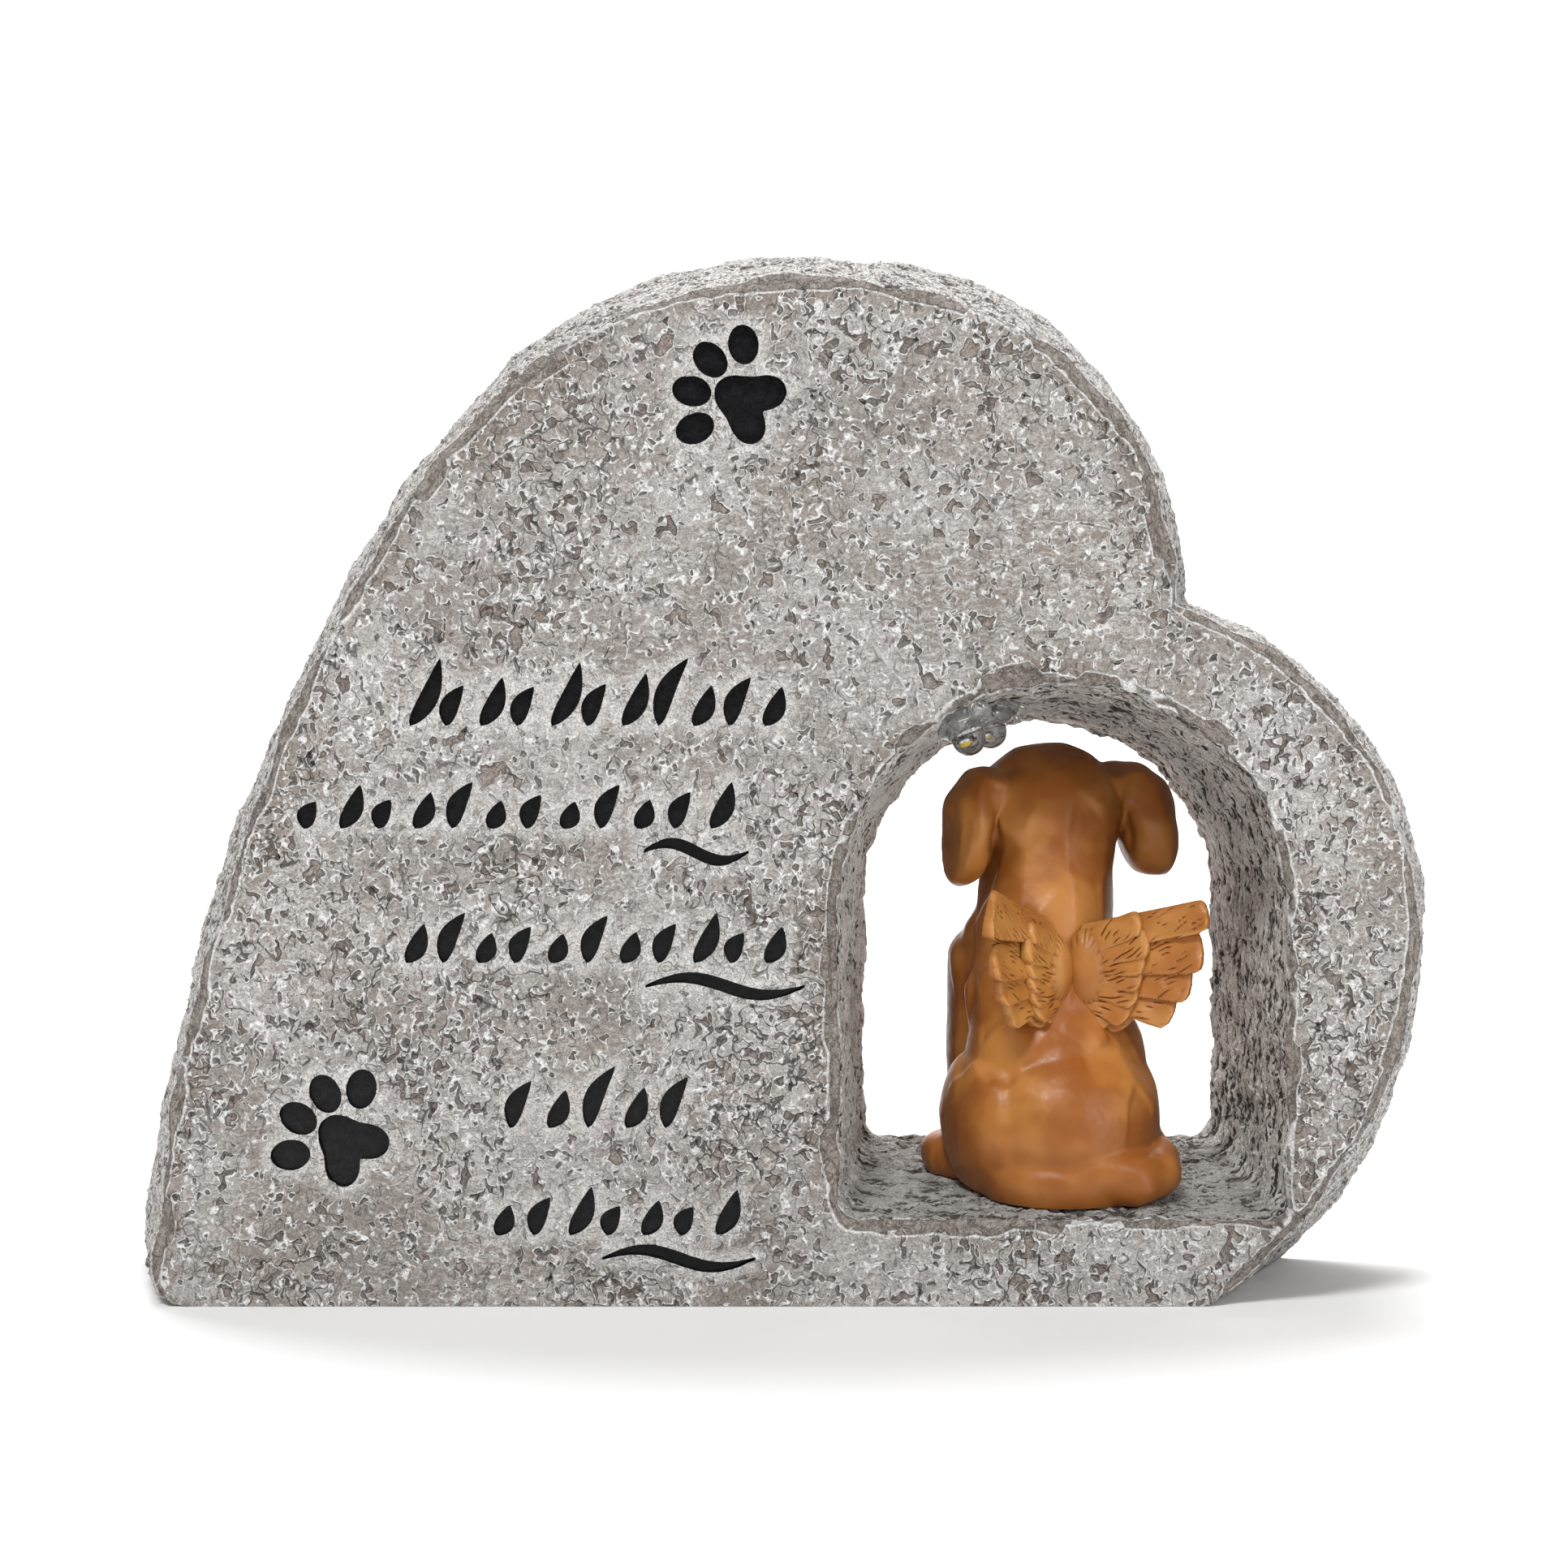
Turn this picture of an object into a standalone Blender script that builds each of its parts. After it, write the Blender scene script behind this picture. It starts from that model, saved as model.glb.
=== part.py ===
"""Solar pet memorial stone: a heart-shaped cast stone with an arched window.

A winged sitting dog stands in the window with its back to the viewer, and two clear
bulbs hang under the arch. The back of the stone carries a small solar panel.
Metres, +Z up, the front face towards -Y, the origin under the middle of the stone.
"""
import math

import bmesh
import bpy
from mathutils import Matrix, Vector

# Stone: the back face is the wide one, and the sides lean in towards the front face.
STONE_WIDTH = 0.2116
STONE_HEIGHT = 0.1657
STONE_DEPTH = 0.0540
FLARE = 0.0107
TOP_FLARE = 0.0118
ARRIS = 0.0012
ROUGHNESS = 0.0008
SIDE_RINGS = 7

# Corners between the arcs of the outline, clockwise from the left foot. Each has its
# share of width and height on the back face, the same on the front face, the bulge of
# the arc to the next corner as a share of its chord, and the points along that arc.
OUTLINE = (
    ((-0.500, 0.018), (-0.500, 0.029), 0.057, 24),
    ((-0.314, 0.738), (-0.311, 0.766), 0.028, 6),
    ((-0.208, 0.907), (-0.198, 0.921), 0.106, 12),
    ((0.098, 0.993), (0.100, 0.993), 0.190, 14),
    ((0.311, 0.655), (0.311, 0.684), 0.165, 12),
    ((0.500, 0.350), (0.502, 0.364), 0.115, 11),
    ((0.390, 0.000), (0.336, 0.000), 0.000, 14),
    ((-0.487, 0.000), (-0.476, 0.000), 0.200, 3),
)

# Window: a round arch on upright jambs, narrower at the back, on a sill that rises.
ARCH_X = 0.0420
ARCH_SPRING = 0.0600
ARCH_RADIUS = 0.0338
ARCH_TAPER = 0.0052
SILL_FRONT = 0.0129
SILL_BACK = 0.0204
SILL_CORNER = 0.0030
ARCH_RINGS = 5

# Carving in the front face.
CARVING_DEPTH = 0.0013
CARVING_FLOOR = 0.90
PAW_PAD = 0.0051
PAW_TOE_LENGTH = 0.0030
PAW_TOE_WIDTH = 0.0023
PAW_REACH = 0.0091
UPPER_PAW_BELOW_TOP = 0.0184
UPPER_PAW_X = -0.0050
UPPER_PAW_TURN = math.radians(60)
LOWER_PAW_Z = 0.0237
LOWER_PAW_FROM_SIDE = 0.0300
LOWER_PAW_TURN = math.radians(43)
STROKE_WIDTH = 0.0029
STROKE_PITCH = 0.0056
STROKE_LEAN = math.radians(24)

# Rows of strokes: baseline height, how far the row ends from the left jamb, its length,
# the height of its tallest stroke, and the length of the sweep under its end.
ROWS = (
    (0.0872, 0.0055, 0.0600, 0.0112, 0.0000),
    (0.0683, 0.0135, 0.0680, 0.0112, 0.0160),
    (0.0481, 0.0050, 0.0610, 0.0118, 0.0240),
    (0.0268, 0.0205, 0.0300, 0.0108, 0.0000),
    (0.0072, 0.0125, 0.0400, 0.0115, 0.0230),
)
# Stroke heights along a row, as shares of the tallest.
RHYTHM = (1.00, 0.60, 0.72, 0.58, 0.94, 0.62, 0.78)

# Bulbs: a flange and a short dome each, in a socket in the soffit.
BULB_RADIUS = 0.0026
BULB_FLANGE = 0.0029
BULB_FLANGE_HEIGHT = 0.0008
BULB_DOME = 0.0046
BULB_STEM_RADIUS = 0.0021
BULB_STEM = 0.0040
# Name, distance behind the front face, distance left of the arch middle, how far the
# flange hangs clear of the soffit, and the axis.
BULBS = (
    ("led_front", 0.0068, 0.0155, 0.0016, (0.36, -0.26, -0.90)),
    ("led_back", 0.0195, 0.0106, 0.0008, (0.22, 0.10, -0.97)),
)

# Solar panel, let into the back face.
PANEL_SIDE = 0.0600
PANEL_RIM = 0.0045
PANEL_THICKNESS = 0.0040
PANEL_PROUD = 0.0012
CELL_THICKNESS = 0.0016
CELL_BELOW_RIM = 0.0006
PANEL_BELOW_TOP = 0.0720

# Figure: forms are placed in millimetres of a dog 68 high, facing +Y, and scaled.
FIGURE_HEIGHT = 0.0676
FIGURE_UNITS = 68.0
FIGURE_LEFT_OF_ARCH = 0.0005
FIGURE_BEHIND_MIDDLE = -0.0012
FIGURE_YAW = math.radians(17)
FIGURE_GRAIN = 0.00075
FIGURE_FACES = 0.06
WING_ROOT = (1.5, -8.0, 36.0)
WING_SHOULDER = 5.0
# For the left and right wing: how far it sweeps to the rear, its size, and how much higher
# its top feather ends.
WINGS = {-1: (math.radians(35), 0.86, 4.8), 1: (math.radians(40), 0.97, 0.0)}
# Feather ends of a layer, lowest first: span, height, and half the width of each.
FLIGHT_FEATHERS = ((8.8, -10.2, 1.9), (16.6, -7.6, 2.4), (19.6, -2.9, 2.4), (21.6, 2.3, 2.5), (22.4, 9.2, 2.2))
COVERTS = (
    (5.3, -10.6, 1.9), (9.4, -8.6, 1.7), (10.9, -5.6, 1.4), (11.7, -2.7, 1.35),
    (12.3, 0.2, 1.35), (13.0, 3.4, 1.6), (11.6, 7.2, 1.9),
)
# Layers of a wing: its feathers, and the distances behind the wing's plane it fills.
WING_LAYERS = (("flight", FLIGHT_FEATHERS, -1.0, 1.0), ("covert", COVERTS, 0.6, 2.5))
HEAD_SHIFT = 2.6
# For the left and right side: how far an ear splays in degrees, where ear and haunch sit,
# and half the width of the ear.
SIDES = {-1: (11, 14.4, 11.4, 3.2), 1: (16, 16.1, 9.5, 4.1)}
# Tail: points along it and its radius at each.
TAIL = ((0, -17, 5, 4.6), (6.5, -20, 4, 4.2), (11.2, -18, 4.2, 3.7), (13.8, -12.5, 5.4, 3.1), (13.8, -8, 7.4, 2.4))

GAP = 0.0003
PAST = 0.0040

FRONT = -STONE_DEPTH / 2
BACK = STONE_DEPTH / 2
FACE_WIDTH = STONE_WIDTH - 2 * FLARE
FACE_HEIGHT = STONE_HEIGHT - TOP_FLARE


def empty_scene():
    """Clears what the file holds and makes one collection for parts and one for cutters."""
    for old in list(bpy.data.objects):
        bpy.data.objects.remove(old, do_unlink=True)
    made = []
    for name in ("solar_pet_memorial_stone", "cutters"):
        collection = bpy.data.collections.new(name)
        bpy.context.scene.collection.children.link(collection)
        made.append(collection)
    return made


def material(name, colour, roughness, metallic=0.0, clear=0.0):
    mat = bpy.data.materials.new(name)
    mat.use_nodes = True
    shader = mat.node_tree.nodes["Principled BSDF"]
    shader.inputs["Base Color"].default_value = (*colour, 1.0)
    shader.inputs["Roughness"].default_value = roughness
    shader.inputs["Metallic"].default_value = metallic
    shader.inputs["Transmission Weight"].default_value = clear
    return mat


def to_object(name, bm, collection, mat=None, smooth=False):
    """Turns a bmesh into an object with its faces pointing out."""
    bmesh.ops.recalc_face_normals(bm, faces=bm.faces[:])
    mesh = bpy.data.meshes.new(name)
    bm.to_mesh(mesh)
    bm.free()
    obj = bpy.data.objects.new(name, mesh)
    collection.objects.link(obj)
    if mat:
        mesh.materials.append(mat)
    if smooth:
        mesh.shade_smooth()
        mesh.set_sharp_from_angle(angle=math.radians(40))
    return obj


def as_cutter(obj):
    obj.hide_render = True
    obj.display_type = "WIRE"
    return obj


def cut(target, cutter, operation="DIFFERENCE"):
    step = target.modifiers.new(cutter.name, "BOOLEAN")
    step.operation = operation
    step.solver = "EXACT"
    step.object = cutter
    return step


def arc(start, end, bulge, count):
    """Points from start up to end, which is left out. bulge is rise over chord, to the left."""
    start, end = Vector(start), Vector(end)
    chord = end - start
    if abs(bulge) < 1e-4:
        return [start + chord * i / count for i in range(count)]
    rise = bulge * chord.length
    radius = (chord.length ** 2 / 4 + rise ** 2) / (2 * rise)
    left = Vector((-chord.y, chord.x)).normalized()
    centre = (start + end) / 2 + left * (rise - radius)
    half = math.asin(min(1.0, chord.length / 2 / abs(radius)))
    middle = math.atan2(left.y, left.x)
    return [
        centre + radius * Vector((math.cos(a), math.sin(a)))
        for a in (middle + half * (1 - 2 * i / count) for i in range(count))
    ]


def outline(side, width, height):
    """The heart's outline on one face: side 0 is the back and 1 the front."""
    corners = [Vector((knot[side][0] * width, knot[side][1] * height)) for knot in OUTLINE]
    points = []
    for i, knot in enumerate(OUTLINE):
        points += arc(corners[i], corners[(i + 1) % len(corners)], knot[2], knot[3])
    return points


def outward(points):
    """Unit normals in the plane of a closed outline that runs clockwise."""
    count = len(points)
    normals = []
    for i in range(count):
        along = points[(i + 1) % count] - points[i - 1]
        normals.append(Vector((-along.y, along.x)).normalized())
    return normals


def hewn(turn, depth):
    """Rise and fall of the rough sides, from -1 to 1; turn and depth run from 0 to 1."""
    t = 2 * math.pi * turn
    return (
        0.40 * math.sin(9 * t + 4.1 * depth)
        + 0.30 * math.sin(23 * t - 7.3 * depth + 1.1)
        + 0.30 * math.sin(41 * t + 11.0 * depth + 2.3)
    )


def loft(rings):
    """A closed solid through rings of equal length, with flat ends."""
    bm = bmesh.new()
    rows = [[bm.verts.new(point) for point in ring] for ring in rings]
    count = len(rows[0])
    for lower, upper in zip(rows, rows[1:]):
        for i in range(count):
            j = (i + 1) % count
            bm.faces.new((lower[i], lower[j], upper[j], upper[i]))
    bm.faces.new(rows[0])
    bm.faces.new(rows[-1][::-1])
    return bm


def stone_body(collection, mat):
    """The heart-shaped block: rings from the back face to the front face, flat below."""
    back = outline(0, STONE_WIDTH, STONE_HEIGHT)
    front = outline(1, FACE_WIDTH, FACE_HEIGHT)
    normals = outward(back)
    rings = []
    for k in range(SIDE_RINGS + 1):
        share = k / SIDE_RINGS
        at_face = k in (0, SIDE_RINGS)
        y = BACK - STONE_DEPTH * share
        ring = []
        for i, (b, f) in enumerate(zip(back, front)):
            point = b.lerp(f, share)
            lift = ROUGHNESS * hewn(i / len(back), share) - (ARRIS if at_face else 0)
            clear_of_base = min(1.0, max(0.0, point.y / 0.004))
            point = point + normals[i] * lift * clear_of_base
            ring.append((point.x, y, max(0.0, point.y)))
        rings.append(ring)
    return to_object("stone", loft(rings), collection, mat)


def arch_radius(y):
    return ARCH_RADIUS - ARCH_TAPER * (y - FRONT) / STONE_DEPTH


def sill_height(y):
    return SILL_FRONT + (SILL_BACK - SILL_FRONT) * (y - FRONT) / STONE_DEPTH


def arch_outline(y):
    """The window's outline at one depth: jamb, arch, jamb, sill with rounded corners."""
    radius = arch_radius(y)
    left, right, sill = ARCH_X - radius, ARCH_X + radius, sill_height(y)
    corner = SILL_CORNER
    points = arc((left, sill + corner), (left, ARCH_SPRING), 0, 5)
    points += arc((left, ARCH_SPRING), (right, ARCH_SPRING), 0.4999, 22)
    points += arc((right, ARCH_SPRING), (right, sill + corner), 0, 5)
    points += arc((right, sill + corner), (right - corner, sill), 0.2, 3)
    points += arc((right - corner, sill), (left + corner, sill), 0, 4)
    points += arc((left + corner, sill), (left, sill + corner), 0.2, 3)
    return points


def window_cutter(collection):
    """Rings through the stone, a little past both faces, rough like the sides."""
    rings = []
    for k in range(ARCH_RINGS + 1):
        share = k / ARCH_RINGS
        y = FRONT - PAST + (STONE_DEPTH + 2 * PAST) * share
        flat = arch_outline(y)
        normals = outward(flat)
        ring = []
        for i, point in enumerate(flat):
            above_sill = min(1.0, max(0.0, (point.y - sill_height(y)) / 0.006))
            lift = 0.7 * ROUGHNESS * hewn(i / len(flat), 0.4 + share) * above_sill
            point = point + normals[i] * lift
            ring.append((point.x, y, point.y))
        rings.append(ring)
    return as_cutter(to_object("window", loft(rings), collection))


def carved(shape):
    """Rings of one carved shape, from just above the front face down to its smaller floor."""
    middle = sum(shape, Vector((0, 0))) / len(shape)
    above = CARVING_DEPTH / 2
    mouth = 1 + (1 - CARVING_FLOOR) * above / CARVING_DEPTH
    rings = []
    for y, size in ((FRONT - above, mouth), (FRONT + CARVING_DEPTH, CARVING_FLOOR)):
        ring = [middle + (point - middle) * size for point in shape]
        rings.append([(point.x, y, point.y) for point in ring])
    return rings


def toe(centre, angle):
    """An oval that is longer along angle."""
    along = Vector((math.cos(angle), math.sin(angle)))
    across = Vector((-along.y, along.x))
    steps = [2 * math.pi * i / 12 for i in range(12)]
    return [
        centre + along * PAW_TOE_LENGTH * math.cos(a) + across * PAW_TOE_WIDTH * math.sin(a)
        for a in steps
    ]


def pad(centre, facing):
    """Three soft lobes with a notch at the heel, the first lobe towards facing."""
    points = []
    for i in range(30):
        turn = 2 * math.pi * i / 30
        from_heel = turn - math.pi
        reach = 1 + 0.17 * math.cos(3 * turn) - 0.40 * math.exp(-((from_heel / 0.5) ** 2))
        angle = facing + turn
        points.append(centre + PAW_PAD * reach * Vector((math.cos(angle), math.sin(angle))))
    return points


def paw_print(x, z, turn):
    """A pad and four toes; turn is how far the print leans left from upright."""
    centre = Vector((x, z))
    facing = math.pi / 2 + turn
    shapes = [pad(centre, facing)]
    for offset in (-53, -18, 17, 53):
        angle = facing + math.radians(offset)
        reach = PAW_REACH * Vector((math.cos(angle), math.sin(angle)))
        shapes.append(toe(centre + reach, angle))
    return shapes


def blade(foot, length, angle, bow, width):
    """A tapered brush stroke from foot: bow is how far it curves, as a share of length."""
    along = Vector((math.cos(angle), math.sin(angle)))
    across = Vector((-along.y, along.x))
    upper, lower = [], []
    steps = 5
    for i in range(1, steps):
        share = i / steps
        middle = foot + along * length * share + across * length * bow * math.sin(math.pi * share)
        half = width / 2 * math.sin(math.pi * share ** 0.8) ** 0.8
        upper.append(middle + across * half)
        lower.append(middle - across * half)
    return [foot] + upper + [foot + along * length] + lower[::-1]


def sweep(start, length):
    """A long low wave of one brush stroke."""
    upper, lower = [], []
    steps = 8
    for i in range(steps + 1):
        share = i / steps
        middle = start + Vector((length * share, 0.0013 * math.sin(2 * math.pi * share)))
        half = STROKE_WIDTH * 0.36 * (0.2 + 0.8 * math.sin(math.pi * share))
        upper.append(middle + Vector((0, half)))
        lower.append(middle - Vector((0, half)))
    return upper + lower[::-1]


def stroke_rows():
    """Five rows of leaning strokes, set back from the window's left jamb."""
    shapes = []
    jamb = ARCH_X - ARCH_RADIUS
    for number, (base, inset, length, height, tail) in enumerate(ROWS):
        end = jamb - inset
        lean = math.sin(STROKE_LEAN) * height
        count = round(length / STROKE_PITCH)
        pitch = (length - lean) / (count - 0.6)
        lift = STROKE_WIDTH * 1.2 if tail else 0.0
        for i in range(count):
            tall = RHYTHM[(i + 3 * number) % len(RHYTHM)] * (height - lift)
            foot = Vector((end - length + pitch * (i + 0.2), base + lift))
            angle = math.pi / 2 - STROKE_LEAN
            bow = 0.10 if (i + number) % 2 else -0.08
            shapes.append(blade(foot, tall, angle, bow, STROKE_WIDTH))
        if tail:
            shapes.append(sweep(Vector((end - tail, base)), tail))
    return shapes


def carving_cutter(collection):
    """All carved shapes in one mesh; they don't touch one another."""
    upper = paw_print(UPPER_PAW_X, FACE_HEIGHT - UPPER_PAW_BELOW_TOP, UPPER_PAW_TURN)
    lower_x = LOWER_PAW_FROM_SIDE - FACE_WIDTH / 2
    lower = paw_print(lower_x, LOWER_PAW_Z, LOWER_PAW_TURN)
    joined = bmesh.new()
    for shape in upper + lower + stroke_rows():
        one = loft(carved(shape))
        mesh = bpy.data.meshes.new("shape")
        one.to_mesh(mesh)
        one.free()
        joined.from_mesh(mesh)
        bpy.data.meshes.remove(mesh)
    return as_cutter(to_object("carving", joined, collection))


def turned(name, profile, collection, mat=None):
    """A solid of revolution about its own Z from (radius, height) points, top to bottom."""
    bm = bmesh.new()
    verts = [bm.verts.new((radius, 0, height)) for radius, height in profile]
    for first, second in zip(verts, verts[1:]):
        bm.edges.new((first, second))
    mesh = bpy.data.meshes.new(name)
    bm.to_mesh(mesh)
    bm.free()
    obj = bpy.data.objects.new(name, mesh)
    collection.objects.link(obj)
    if mat:
        mesh.materials.append(mat)
    screw = obj.modifiers.new("turn", "SCREW")
    screw.steps = screw.render_steps = 16
    screw.use_merge_vertices = True
    screw.merge_threshold = 1e-6
    screw.use_smooth_shade = True
    return obj


def bulb_profile(grow=0.0):
    """The outer side of a bulb, from the end of its stem down to the tip of its dome."""
    straight = BULB_DOME - BULB_RADIUS
    top = BULB_FLANGE_HEIGHT
    profile = [
        (0, top + BULB_STEM + grow),
        (BULB_STEM_RADIUS + grow, top + BULB_STEM + grow),
        (BULB_STEM_RADIUS + grow, top + grow),
        (BULB_FLANGE + grow, top + grow),
        (BULB_FLANGE + grow, -grow),
        (BULB_RADIUS + grow, -grow),
    ]
    dome = BULB_RADIUS + grow
    for i in range(5):
        angle = math.pi / 2 * i / 5
        profile.append((dome * math.cos(angle), -straight - dome * math.sin(angle)))
    return profile + [(0, -straight - dome)]


def bulb_place(behind, left, hang, axis):
    """Where a bulb's flange meets the soffit, with its dome along axis."""
    y = FRONT + behind
    radius = arch_radius(y)
    z = ARCH_SPRING + math.sqrt(radius ** 2 - left ** 2)
    down = Vector(axis).normalized()
    at = Vector((ARCH_X - left, y, z)) + down * (BULB_FLANGE_HEIGHT + hang)
    turn = Vector((0, 0, -1)).rotation_difference(down).to_matrix().to_4x4()
    return Matrix.Translation(at) @ turn


def bulbs(stone, parts, cutters, mat):
    for name, *where in BULBS:
        place = bulb_place(*where)
        bulb = turned(name, bulb_profile(), parts, mat)
        bulb.matrix_world = place
        socket = as_cutter(turned(name + "_socket", bulb_profile(GAP), cutters))
        socket.matrix_world = place
        cut(stone, socket)


def solar_panel(stone, parts, cutters, frame_mat, cell_mat):
    """A square frame let into the back face, between the window and the far end, and its cell."""
    x = (ARCH_X - ARCH_RADIUS - STONE_WIDTH / 2) / 2
    z = STONE_HEIGHT - PANEL_BELOW_TOP - PANEL_SIDE / 2
    outer = BACK + PANEL_PROUD
    floor = outer - PANEL_THICKNESS

    def box(name, side, low, high, collection, mat=None, rounding=0.0):
        bm = bmesh.new()
        size = Matrix.Diagonal((side, high - low, side, 1))
        bmesh.ops.create_cube(bm, size=1, matrix=Matrix.Translation((x, (low + high) / 2, z)) @ size)
        if rounding:
            upright = [e for e in bm.edges if abs((e.verts[0].co - e.verts[1].co).y) > 1e-6]
            bmesh.ops.bevel(bm, geom=upright, offset=rounding, segments=4, affect="EDGES", profile=0.5)
        return to_object(name, bm, collection, mat)

    frame = box("panel_frame", PANEL_SIDE, floor, outer, parts, frame_mat, 0.004)
    inner = PANEL_SIDE - 2 * PANEL_RIM
    cell_top = outer - CELL_BELOW_RIM
    well = as_cutter(box("panel_well", inner, cell_top - CELL_THICKNESS - GAP, outer + PAST, cutters))
    cut(frame, well)
    box("solar_cell", inner - 2 * GAP, cell_top - CELL_THICKNESS, cell_top, parts, cell_mat)
    recess = as_cutter(
        box("panel_recess", PANEL_SIDE + 2 * GAP, floor - GAP, outer + PAST, cutters, None, 0.004 + GAP)
    )
    cut(stone, recess)


def ball(forms, centre, radii, turn=None):
    """Adds one rounded form to the figure, as the matrix that shapes a unit ball."""
    size = Matrix.Diagonal((*radii, 1))
    forms.append(Matrix.Translation(centre) @ (turn or Matrix()) @ size)


def limb(forms, points):
    """Balls along straight lengths between (x, y, z, radius) points, close enough to merge."""
    for first, second in zip(points, points[1:]):
        a, b = Vector(first), Vector(second)
        steps = max(2, int((a - b).length / (0.35 * min(a[3], b[3]))))
        for i in range(steps + 1):
            x, y, z, radius = a.lerp(b, i / steps)
            ball(forms, (x, y, z), (radius, radius, radius))


def head_forms(forms):
    """Skull, muzzle, nose, brows and hanging ears; the head sits a little off the spine."""
    x = HEAD_SHIFT
    ball(forms, (x, 6.5, 56.6), (12.2, 11.2, 11.4))
    ball(forms, (x, 16.0, 54.5), (5.8, 7.6, 5.0))
    ball(forms, (x, 14.0, 51.2), (4.6, 7.0, 2.8))
    ball(forms, (x, 22.6, 56.4), (2.3, 1.6, 1.7))
    for side, (splay, ear, haunch, half) in SIDES.items():
        hang = Matrix.Rotation(math.radians(-splay * side), 4, "Y")
        ball(forms, (x + side * ear, 4.5, 55.4), (half, 6.4, 9.4), hang)
        ball(forms, (x + side * 11.0, 5.0, 60.6), (5.0, 5.4, 4.0))
        ball(forms, (x + side * 4.2, 14.2, 59.6), (3.2, 2.6, 2.3))


def body_forms(forms):
    """Trunk, legs and tail of the sitting dog."""
    lean = Matrix.Rotation(math.radians(-12), 4, "X")
    ball(forms, (0, -9.0, 3.0), (14.6, 12.6, 8.0))
    ball(forms, (0, -8.5, 11.0), (14.6, 12.8, 13.0))
    ball(forms, (0, -3.5, 19.0), (14.4, 12.0, 15.5), lean)
    ball(forms, (0, -0.5, 28.0), (13.2, 11.6, 17.0), lean)
    ball(forms, (0, 5.0, 35.0), (12.0, 9.8, 12.5))
    limb(forms, ((0, 2.5, 38, 11.0), (HEAD_SHIFT, 5.0, 51, 10.4)))
    for side, (splay, ear, haunch, half) in SIDES.items():
        ball(forms, (side * haunch, -3.5, 10.5), (6.6, 12.2, 11.6))
        ball(forms, (side * 13.4, 8.0, 2.6), (4.3, 7.6, 4.0))
        limb(forms, ((side * 7.2, 8.5, 33, 6.0), (side * 7.4, 13.0, 18, 4.6), (side * 7.0, 14.5, 3, 3.9)))
        ball(forms, (side * 7.0, 17.0, 2.2), (4.3, 5.4, 3.4))
    limb(forms, TAIL)


def fan(row):
    """A wing layer's outline in (span, height) about its root: blunt tips with notches between."""
    points = []
    for span, height, half in row:
        along = Vector((span, 0.6 * height)).normalized()
        across = Vector((-along.y, along.x)) * half
        for back, aside in ((1.8, -1.0), (0.3, -0.55), (0.0, 0.0), (0.2, 0.55), (1.4, 1.0)):
            points.append(Vector((span, height)) - along * back + across * aside)
    first = math.atan2(points[0].y, points[0].x)
    last = math.atan2(points[-1].y, points[-1].x)
    shoulder = 5
    for i in range(1, shoulder + 1):
        angle = last + (first + 2 * math.pi - last) * i / (shoulder + 1)
        points.append(Vector((WING_SHOULDER * math.cos(angle), WING_SHOULDER * math.sin(angle))))
    return points


def wing_layer(name, side, row, inner, outer, cutters):
    """One flat layer of feathers, between two distances behind the wing's plane."""
    sweep_angle, size, raised = WINGS[side]
    span, height, half = row[-1]
    row = (*row[:-1], (span, height + (raised if name.startswith("flight") else 0), half))
    root = Vector((side * WING_ROOT[0], WING_ROOT[1], WING_ROOT[2]))
    span = Vector((side * math.cos(sweep_angle), -math.sin(sweep_angle), 0))
    rear = Vector((-side * math.sin(sweep_angle), -math.cos(sweep_angle), 0))
    rings = []
    for lift in (inner, outer):
        flat = [root + (span * point.x + Vector((0, 0, point.y))) * size for point in fan(row)]
        rings.append([on_sill(point + rear * lift) for point in flat])
    return as_cutter(to_object(name, loft(rings), cutters))


def on_sill(point):
    """Places a point of the figure: turned, scaled, and lifted with the sill's rise."""
    scale = FIGURE_HEIGHT / FIGURE_UNITS
    turned_point = Matrix.Rotation(FIGURE_YAW, 3, "Z") @ Vector(point) * scale
    x = ARCH_X - FIGURE_LEFT_OF_ARCH + turned_point.x
    y = FIGURE_BEHIND_MIDDLE + turned_point.y
    return Vector((x, y, sill_height(y) + turned_point.z))


def figure(collection, cutters, mat):
    """The dog: its forms grown together, then cut flat where it stands on the sill."""
    forms = []
    body_forms(forms)
    head_forms(forms)
    unit = bmesh.new()
    bmesh.ops.create_uvsphere(unit, u_segments=24, v_segments=14, radius=1)
    ball_mesh = bpy.data.meshes.new("ball")
    unit.to_mesh(ball_mesh)
    unit.free()
    bm = bmesh.new()
    for form in forms:
        one = ball_mesh.copy()
        one.transform(form)
        bm.from_mesh(one)
        bpy.data.meshes.remove(one)
    bpy.data.meshes.remove(ball_mesh)
    for vert in bm.verts:
        vert.co = on_sill(vert.co)
    dog = to_object("dog_figure", bm, collection, mat, smooth=True)
    grow = dog.modifiers.new("grow_together", "REMESH")
    grow.mode = "VOXEL"
    grow.voxel_size = FIGURE_GRAIN
    grow.use_smooth_shade = True
    soften = dog.modifiers.new("soften", "SMOOTH")
    soften.factor = 0.5
    soften.iterations = 4
    thin = dog.modifiers.new("thin", "DECIMATE")
    thin.ratio = FIGURE_FACES
    for side in WINGS:
        for layer, row, inner, outer in WING_LAYERS:
            name = f"{layer}_{'left' if side < 0 else 'right'}"
            cut(dog, wing_layer(name, side, row, inner, outer, cutters), "UNION")
    below = 0.02
    profile = [(y, sill_height(y) + GAP) for y in (FRONT - below, BACK + below)]
    rings = []
    for x in (ARCH_X - 2 * ARCH_RADIUS, ARCH_X + 2 * ARCH_RADIUS):
        rings.append([(x, y, z) for y, z in profile] + [(x, y, z - below) for y, z in profile[::-1]])
    ground = as_cutter(to_object("sill_ground", loft(rings), cutters))
    cut(dog, ground)
    return dog


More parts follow.
